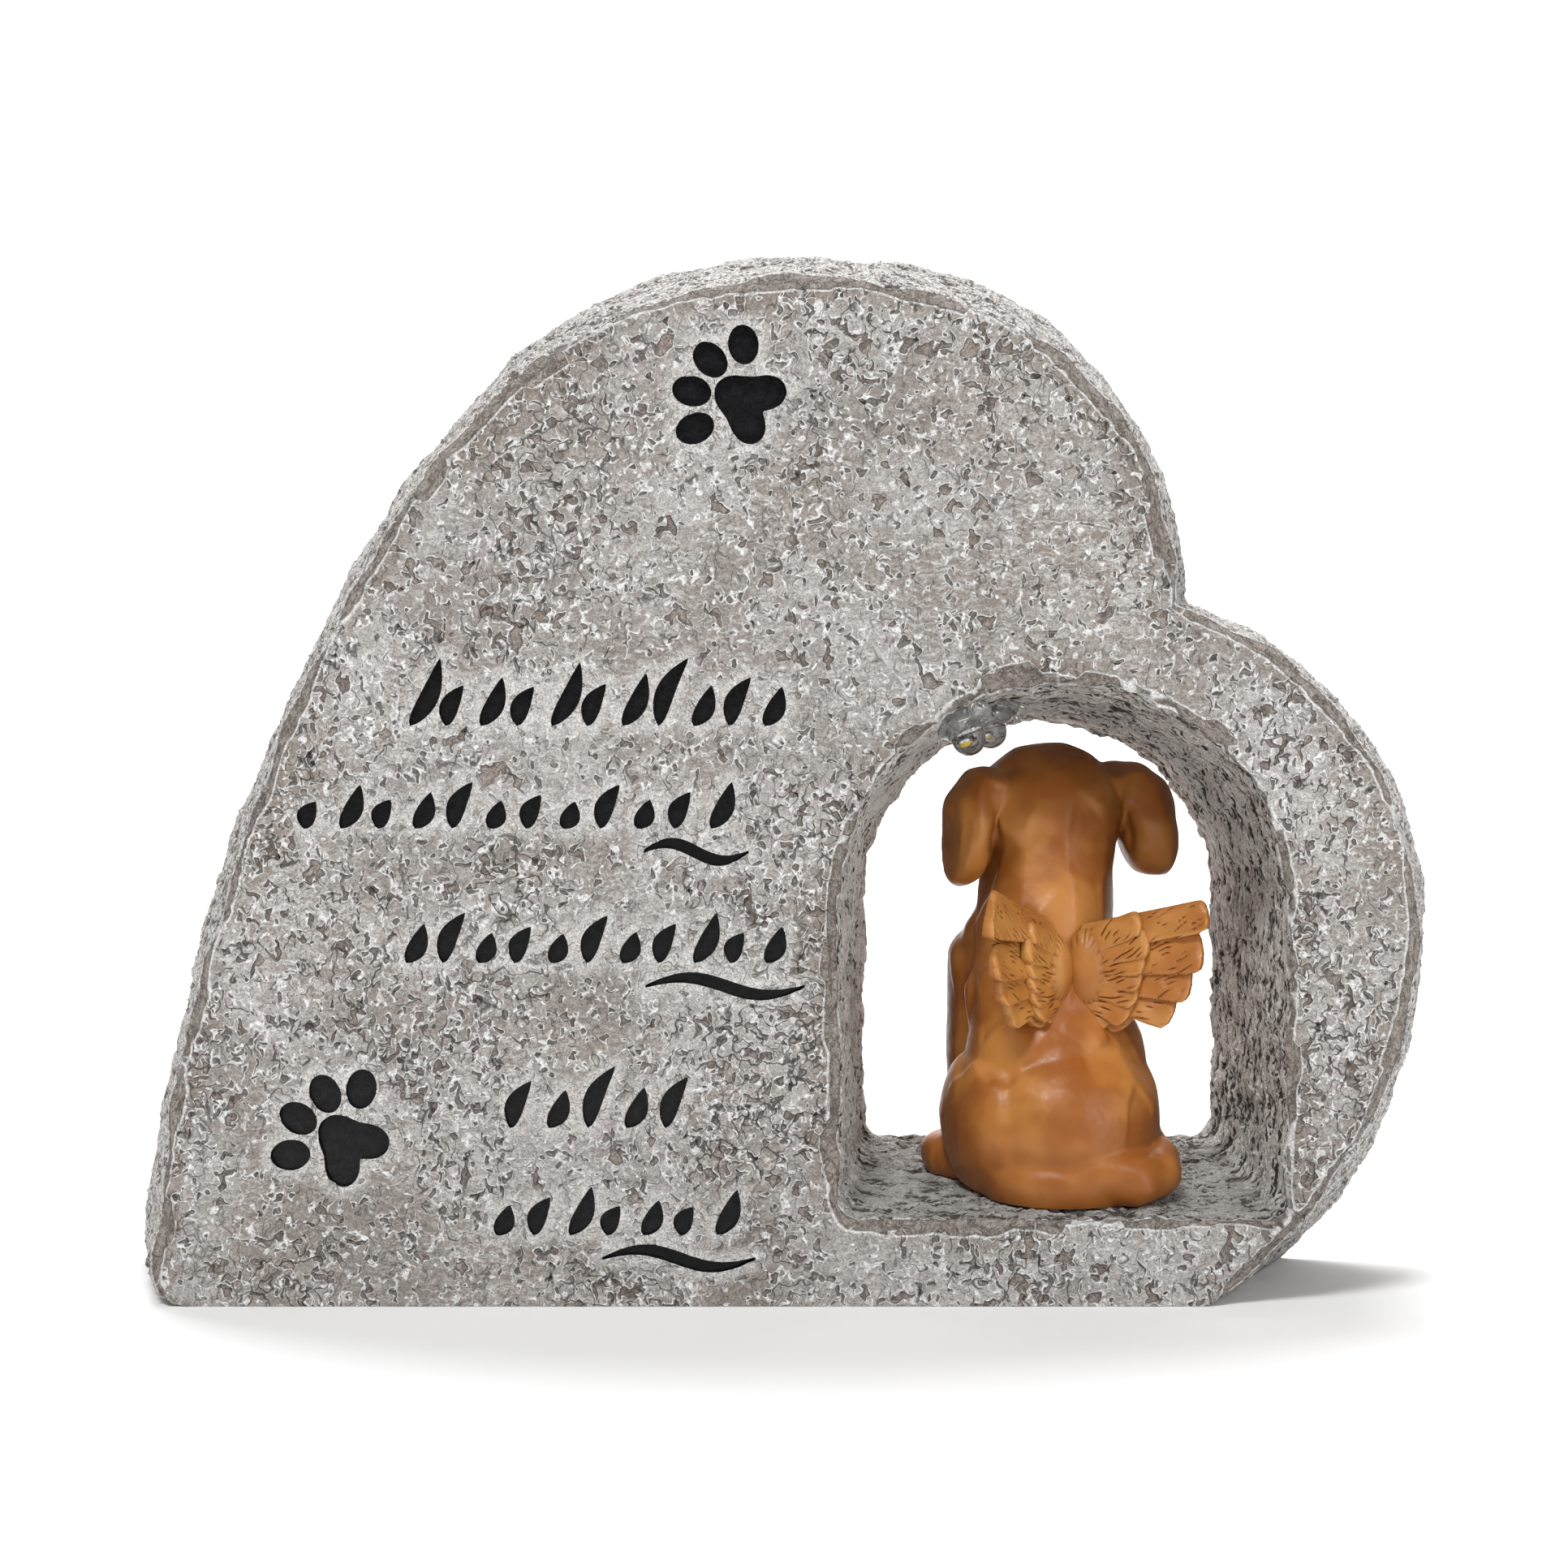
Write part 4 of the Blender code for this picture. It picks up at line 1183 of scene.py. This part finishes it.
# Lamp insides and glue.
def lamp(name, place, clear, metal, glow):
    """Clear lamp with what its epoxy holds: two leads, a small cup and its yellow drop."""
    lens = spun(name + "_lens", lamp_profile(rounds=20), place, clear, 64)
    made = [lens]
    top = 0.0040
    for number, (x, foot) in enumerate(((-0.00075, -0.0013), (0.0008, -0.0009))):
        wire = [(0, top), (0.00024, top), (0.00026, -0.0002)]
        profile = wire + [(0.00034, foot + 0.0005), (0.00030, foot), (0, foot)]
        made.append(spun(f"{name}_lead_{number}", profile, place @ Matrix.Translation((x, 0, 0)), metal, 16))
    cup_at = place @ Matrix.Translation((-0.00055, 0, -0.0020))
    cup = [
        (0, 0.00055), (0.0006, 0.0005), (0.00085, 0), (0.00095, -0.0004), (0.00078, -0.0004),
        (0.0005, 0.0001), (0, 0.00012),
    ]
    made.append(spun(name + "_cup", cup, cup_at, metal, 32))
    drop_profile = [(0, 0.00005), (0.00052, 0), (0.00072, -0.00038), (0.0005, -0.00055), (0, -0.00062)]
    made.append(spun(name + "_phosphor", drop_profile, cup_at, glow, 32))
    return made


WHISKERS = (
    ((24.4, -20.5, 89.2), (22.4, -21.5, 87.6), (21.6, -22.0, 85.4)),
    ((25.2, -21.0, 88.6), (23.6, -22.0, 86.4), (23.4, -22.4, 84.6)),
    ((34.0, -9.0, 90.6), (35.6, -10.0, 89.6), (36.6, -10.5, 87.9)),
    ((33.6, -11.0, 91.4), (35.8, -12.0, 91.0), (37.4, -12.6, 90.0)),
    ((30.0, -14.0, 91.4), (30.8, -14.6, 89.0), (30.6, -14.8, 87.4)),
)
WHISKER_STEPS, GLUE_GRAIN, GLUE_LUMPS = 26, 0.00016, 0.00022


def glue_blobs():
    """Centre, radius and fineness of each ball of glue: rings round both lamps, a bridge, whiskers."""
    rng = random.Random(5)
    blobs = []
    for _, place in LAMPS:
        across, depth, up = (place.to_3x3() @ Vector(way) for way in ((1, 0, 0), (0, 1, 0), (0, 0, 1)))
        for i in range(9):
            turn = 2 * math.pi * i / 9 + rng.uniform(-0.3, 0.3)
            reach = rng.uniform(0.0023, 0.0036)
            centre = place.translation + up * rng.uniform(0.0005, 0.0016)
            centre += (across * math.cos(turn) + depth * math.sin(turn)) * reach
            blobs.append((centre, rng.uniform(0.0010, 0.0018), 3))
    first, second = (place.translation for _, place in LAMPS)
    blobs += [(first.lerp(second, i / 6) + Vector((0, 0, 0.0011)), 0.0016, 3) for i in range(7)]
    for points in WHISKERS:
        a, b, c = (Vector(p) / MM for p in points)
        for i in range(WHISKER_STEPS):
            t = i / (WHISKER_STEPS - 1)
            centre = (1 - t) ** 2 * a + 2 * t * (1 - t) * b + t * t * c
            blobs.append((centre, 0.00055 * (1 - t) ** 0.8 + 0.00016, 2))
    return blobs


def glue(mat):
    """Clear hot glue smeared round both lamps, with a few drawn-out whiskers."""
    bm = bmesh.new()
    for centre, radius, fine in glue_blobs():
        one = bmesh.new()
        bmesh.ops.create_icosphere(one, subdivisions=fine, radius=radius, matrix=Matrix.Translation(centre))
        take_in(bm, one)
    obj = from_bmesh("lamp_glue", bm, mat)
    voxels(obj, GLUE_GRAIN, smooth=True)
    soften(obj, 3)
    baked(obj)
    points, normals = coords(obj.data), vertex_normals(obj.data)
    lumps = wobble(points * MM, 0.9, 7)[:, None]
    put_coords(obj.data, points + normals * lumps * GLUE_LUMPS)
    return obj


# Materials.
def resin_material(name, paler):
    mat, n, shader = new_material(name)
    at = n.place()
    height, groove = n.parts(at)[2], n.attribute("groove")[2]
    cloud, speckle = n.noise(at, 0.10, 2.0), n.noise(at, 0.9, 3.0, 0.6)
    amber, honey = srgb(154, 88, 30), srgb(190, 126, 60)
    if paler:
        amber, honey = srgb(166, 103, 44), srgb(184, 126, 62)
    base = n.tint(n.step(cloud, 0.38, 0.64), amber, honey)
    # The crown is darker, partly the resin's own tone and partly painted shade under the arch; the body is
    # darker towards the seat, and its flanks carry painted shade.
    base = n.tint(n.step(height, 78.0, 87.0, 0.0, 0.60), base, srgb(138, 72, 26))
    base = n.tint(n.step(height, 14.0, 46.0, 0.45, 0.0), base, srgb(146, 86, 32))
    # Painted shade on the body's flanks, where the surface faces sideways.
    if not paler:
        base = n.tint(n.step(n.size(n.facing()[0]), 0.50, 1.00, 0.0, 0.62), base, srgb(104, 54, 18))
    # Painted shade in the strokes between the feathers and under each feather's overlap, pale on their edges.
    base = n.tint(n.step(groove, 0.10, 0.80, 0.0, 0.75), base, srgb(112, 58, 14))
    base = n.tint(n.step(groove, -0.05, -0.40, 0.0, 0.45), base, srgb(214, 158, 94))
    base = n.tint(n.step(speckle, 0.30, 0.22, 0.0, 0.35), base, srgb(112, 55, 20))
    n.finish(
        shader, base, n.step(speckle, 0.3, 0.7, 0.34, 0.48), Specular_IOR_Level=0.4,
        Subsurface_Weight=0.15, Subsurface_Radius=(1.0, 0.5, 0.2), Subsurface_Scale=0.0025,
    )
    n.bump(shader, n.plus(n.noise(at, 0.35, 2.0), n.times(speckle, 0.25)), 0.00025, 0.5)
    return mat


def clear_material(name, colour, scale, smooth, rough, clearness, ior):
    mat, n, shader = new_material(name)
    haze = n.step(n.noise(n.place(), scale, 2.0), 0.4, 0.7, smooth, rough)
    n.finish(shader, colour, haze, Transmission_Weight=clearness, IOR=ior)
    return mat


def metal_material():
    mat, n, shader = new_material("tinned_lead")
    wear = n.step(n.noise(n.place(), 3.0, 2.0), 0.35, 0.65)
    colour = n.tint(wear, srgb(190, 190, 188), srgb(214, 214, 212))
    n.finish(shader, colour, n.blend(wear, 0.42, 0.24), Metallic=1.0)
    return mat


def phosphor_material():
    mat, n, shader = new_material("yellow_phosphor")
    cloud = n.step(n.noise(n.place(), 3.0, 2.0), 0.35, 0.65)
    n.finish(shader, n.tint(cloud, srgb(226, 186, 40), srgb(244, 214, 74)), 0.6)
    return mat


def plastic_material():
    mat, n, shader = new_material("black_plastic_look")
    at = n.place()
    dust = n.step(n.noise(at, 0.25, 3.0, 0.65), 0.52, 0.72, 0.0, 0.35)
    colour = n.tint(dust, srgb(26, 26, 28), srgb(74, 72, 70))
    n.finish(shader, colour, n.step(n.noise(at, 1.5, 2.0), 0.3, 0.7, 0.42, 0.60))
    n.bump(shader, n.noise(at, 4.0, 2.0), 0.00006, 0.7)
    return mat


def cell_material():
    """Blue-black cell: fine silver fingers across it, two broad bars and a cut down the middle."""
    mat, n, shader = new_material("solar_cell_look")
    at = n.place()
    x, _, z = n.parts(at)
    across, up = n.minus(x, PANEL_X * MM), n.minus(z, PANEL_Z * MM)
    finger = n.step(n.size(n.math("WRAP", up, 0.8, -0.8)), 0.10, 0.06)
    bars = n.step(n.size(n.minus(n.size(across), 12.5)), 0.62, 0.52)
    gap = n.step(n.size(n.math("WRAP", across, 12.5, -12.5)), 0.36, 0.26)
    chance = n.cell_chance(n.stretched(at, (0.5, 1.0, 0.5)), 1.0)
    blue = n.tint(chance, srgb(14, 22, 56), srgb(30, 44, 92))
    base = n.tint(n.most(finger, bars), blue, srgb(168, 172, 178))
    base = n.tint(n.times(gap, n.minus(1.0, bars)), base, srgb(206, 206, 204))
    dust = n.step(n.noise(at, 0.2, 3.0, 0.6), 0.5, 0.75, 0.0, 0.22)
    colour = n.tint(dust, base, srgb(170, 166, 160))
    n.finish(shader, colour, n.step(dust, 0.0, 0.2, 0.10, 0.3), Coat_Weight=0.6, Coat_Roughness=0.08)
    return mat


def face_colour(n, r, at, fine, chip):
    """Paint brushed dry over the high grain in patches, painted shade in the lows and creases, and the pits.
    """
    patch = n.step(r["patches"][2], 0.35, 0.65)
    streak = n.noise(n.stretched(r["bent"], (0.35, 1.0, 1.3)), 0.55, 1.0, 0.6)
    high = n.plus(n.times(r["grain"], 0.5), n.times(fine, 0.5))
    brushed = n.step(n.plus(high, n.line(streak, 0.6, -0.30)), 0.47, 0.54)
    base = n.tint(n.step(r["patches"][0], 0.38, 0.62), TAUPE, GREY)
    base = n.tint(n.times(brushed, n.blend(patch, 0.35, 0.80)), base, LIGHT)
    strokes = n.noise(n.stretched(r["bent"], (0.22, 1.0, 2.4)), 1.0, 1.0, 0.6)
    wiped = n.times(n.step(strokes, 0.50, 0.62), n.step(r["patches"][1], 0.56, 0.44, 0.15, 0.8))
    base = n.tint(wiped, base, srgb(206, 204, 201))
    ridge = n.band(r["etched"], 0.475, 0.505, 0.525, 0.555)
    base = n.tint(n.times(ridge, n.blend(patch, 0.32, 0.70)), base, srgb(216, 214, 212))
    # Larger patches: paler where the paint lies thick, browner towards the broken edges.
    thick = n.noise(at, 0.045, 1.0, 0.6)
    base = n.tint(n.step(thick, 0.50, 0.66, 0.0, 0.42), base, srgb(206, 203, 200))
    base = n.tint(n.step(thick, 0.48, 0.34, 0.0, 0.40), base, srgb(136, 126, 119))
    worn = n.times(n.step(chip, -4.5, -0.6), n.step(r["patches"][1], 0.40, 0.60, 0.15, 0.65))
    base = n.tint(worn, base, srgb(140, 127, 117))
    # Painted shade in the finest lows.
    base = n.tint(n.step(r["etched"], 0.46, 0.40, 0.0, n.blend(patch, 0.42, 0.12)), base, srgb(124, 117, 112))
    base = n.tint(n.step(high, 0.43, 0.34, 0.0, 0.55), base, PAINTED_SHADE)
    # Pits: plain taupe floors, painted shade at their foot and a thin white lip.
    floor = n.tint(n.step(r["crumbs"], 0.42, 0.58), srgb(142, 129, 120), srgb(162, 152, 144))
    floor = n.tint(n.step(fine, 0.50, 0.70, 0.0, 0.35), floor, LIGHT)
    base = n.tint(n.step(r["pit"], 0.35, 0.65), base, floor)
    # Painted shade at the foot of each pit's wall.
    base = n.tint(n.times(r["foot"], 0.50), base, PAINTED_SHADE)
    base = n.tint(n.times(r["rim"], n.step(r["crumbs"], 0.36, 0.50, 0.35, 1.0)), base, WHITE)
    # Painted shade in the creases and scratches.
    return n.tint(n.times(r["crease"], 0.85), base, srgb(80, 75, 71))


def side_colour(n, r, fine):
    """Crumbly ridges, white on top, with painted shade below them and in the pits and creases."""
    crest = n.band(r["crumbs"], 0.47, 0.53, 0.58, 0.66, 0.25)
    rough = n.tint(n.step(r["patches"][1], 0.4, 0.6), srgb(144, 134, 127), srgb(172, 166, 161))
    # Painted shade in the lows between the crumbly ridges.
    rough = n.tint(n.times(n.step(r["crumbs"], 0.48, 0.41), 0.78), rough, srgb(84, 76, 70))
    rough = n.tint(n.times(crest, n.step(fine, 0.30, 0.55, 0.25, 0.85)), rough, WHITE)
    # Painted shade in the pits and creases.
    return n.tint(n.times(n.most(r["pit"], r["crease"]), 0.75), rough, PAINTED_SHADE)


def lining_colour(n, r, fine):
    """Streaks along the arch with painted shade in their grooves, and a sill that is darker than the walls."""
    bark = n.tint(n.step(r["patches"][0], 0.4, 0.6), srgb(192, 187, 182), srgb(210, 207, 203))
    # Painted shade in the grooves between the streaks.
    bark = n.tint(n.step(r["bark"], 0.50, 0.39), bark, srgb(66, 61, 57))
    high = n.times(n.step(r["bark"], 0.53, 0.59), n.step(fine, 0.35, 0.6, 0.2, 0.85))
    bark = n.tint(high, bark, srgb(232, 230, 226))
    return n.tint(n.step(n.facing()[2], 0.50, 0.90, 0.0, 0.48), bark, srgb(98, 92, 86))


def broken_colour(n, r, fine, chip, base):
    """Bare smooth casting at the broken edges, with a crisp white line where the skin ends, a painted shadow
    just inside the chip's edge and painted shade in its cracks.
    """
    bare = n.tint(n.step(r["crumbs"], 0.40, 0.56), srgb(118, 107, 99), srgb(154, 145, 138))
    bare = n.tint(n.step(fine, 0.46, 0.64, 0.0, 0.40), bare, LIGHT)
    scar = n.noise(n.stretched(r["bent"], (1.0, 1.0, 0.5)), 0.85, 1.0, 0.6)
    # Painted shade in the fine cracks of the bare casting.
    bare = n.tint(n.crack(scar, 0.008, 0.030, 0.8), bare, PAINTED_SHADE)
    base = n.tint(r["chip"], base, bare)
    base = n.tint(n.times(n.band(chip, -0.42, -0.16, -0.06, 0.10), 0.9), base, WHITE)
    # Painted shadow just inside the edge of each chip.
    return n.tint(n.times(n.band(chip, 0.0, 0.14, 0.2, 0.45), 0.35), base, PAINTED_SHADE)


def stone_material():
    mat, n, shader = new_material("weathered_stone_look")
    at = n.scaled(n.attribute("rest")[1], MM)
    lining, side = n.attribute("lining")[2], n.attribute("side")[2]
    chip, carving = (n.times(n.attribute(name)[2], MM) for name in ("chip", "carving"))
    r = relief(n, at, lining, side, chip)
    fine = n.noise(at, 2.6, 1.0, 0.6)
    base = n.tint(side, face_colour(n, r, at, fine, chip), side_colour(n, r, fine))
    base = n.tint(lining, base, lining_colour(n, r, fine))
    base = broken_colour(n, r, fine, chip, base)
    # Painted highlight: a broken white band round the carving's edge.
    carving_edge_highlight = n.times(n.step(carving, 2.6, 0.5), n.step(fine, 0.32, 0.55, 0.45, 1.0))
    base = n.tint(n.times(carving_edge_highlight, 0.8), base, srgb(216, 214, 211))
    n.finish(shader, base, n.step(fine, 0.3, 0.7, 0.78, 0.95), Specular_IOR_Level=0.3)
    small = n.plus(n.times(r["grain"], 0.22), n.times(fine, 0.18))
    small = n.plus(small, n.step(r["etched"], 0.46, 0.54, 0.0, 0.24))
    hollow = n.plus(n.times(r["pit"], 0.65), n.times(r["crease"], 0.5))
    small = n.minus(small, n.times(hollow, n.minus(1.0, lining)))
    small = n.plus(small, n.times(r["rim"], 0.12))
    small = n.plus(small, n.times(n.times(r["bark"], lining), 1.2))
    n.bump(shader, n.times(small, n.minus(1.0, n.times(r["chip"], 0.45))), 0.0010)
    return mat


def paint_material():
    mat, n, shader = new_material("carved_gloss_black")
    at = n.place()
    colour = n.tint(n.step(n.noise(at, 0.7, 2.0), 0.4, 0.65), srgb(15, 15, 17), srgb(25, 24, 26))
    n.finish(shader, colour, n.step(n.noise(at, 2.2, 2.0), 0.3, 0.7, 0.18, 0.36), Specular_IOR_Level=0.20)
    n.bump(shader, n.noise(at, 0.5, 1.0), 0.0001, 0.3)
    return mat


# Build.
stone = build_stone(stone_material(), paint_material())
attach(stone, "root")
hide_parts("stone")
dog = build_dog(resin_material("caramel_resin_look", False))
honey = resin_material("honey_resin_look", True)
wings = [wing(side, honey) for side in WINGS]
for piece in [dog] + wings:
    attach(piece, "root")
    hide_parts("dog_figure")
clear = clear_material("clear_epoxy_look", (0.96, 0.97, 0.96, 1), 1.2, 0.02, 0.07, 1.0, 1.5)
metal, glow = metal_material(), phosphor_material()
for name, place in LAMPS:
    made = lamp(name, place, clear, metal, glow)
    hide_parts(name)
    for piece in made:
        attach(piece, "root")
smear = glue(clear_material("clear_glue_look", (0.80, 0.81, 0.80, 1), 0.8, 0.08, 0.28, 0.86, 1.48))
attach(smear, "root")
for name, mat in (("panel_frame", plastic_material()), ("solar_cell", cell_material())):
    for slot in bpy.data.objects[name].material_slots:
        slot.material = mat


# Studio.
def studio():
    bm = bmesh.new()
    # A sweep: floor, a wide curve and an upright wall, seen as one pale ground.
    path = [(-3.0, 0.0), (0.9, 0.0)]
    quarter = [math.pi / 2 * i / 16 for i in range(1, 17)]
    path += [(0.9 + 0.6 * math.sin(a), 0.6 - 0.6 * math.cos(a)) for a in quarter]
    path += [(1.5, 3.0)]
    rows = [[bm.verts.new((x, y, z - 0.00005)) for x in (-4.0, 4.0)] for y, z in path]
    for lower, upper in zip(rows, rows[1:]):
        bm.faces.new((lower[0], lower[1], upper[1], upper[0]))
    mat, _, shader = new_material("pale_ground")
    shader.inputs["Base Color"].default_value = (0.93, 0.93, 0.93, 1)
    shader.inputs["Roughness"].default_value = 0.9
    from_bmesh("ground", bm, mat)

    for name, at, towards, size, power in LIGHTS:
        light = bpy.data.lights.new(name, "AREA")
        light.shape = "DISK"
        light.size = size
        light.energy = power
        obj = bpy.data.objects.new(name, light)
        scene.collection.objects.link(obj)
        obj.location = at
        obj.rotation_euler = (Vector(towards) - Vector(at)).to_track_quat("-Z", "Y").to_euler()
    world = bpy.data.worlds.new("studio")
    world.use_nodes = True
    world.node_tree.nodes["Background"].inputs[0].default_value = (1, 1, 1, 1)
    world.node_tree.nodes["Background"].inputs[1].default_value = SKY
    scene.world = world
    camera = bpy.data.cameras.new("camera")
    camera.sensor_width = 36
    camera.lens = LENS
    obj = bpy.data.objects.new("camera", camera)
    scene.collection.objects.link(obj)
    obj.location = CAMERA_AT
    obj.rotation_euler = (math.pi / 2, 0, 0)
    scene.camera = obj
    scene.view_settings.view_transform = "Standard"
    scene.view_settings.look = "None"


studio()
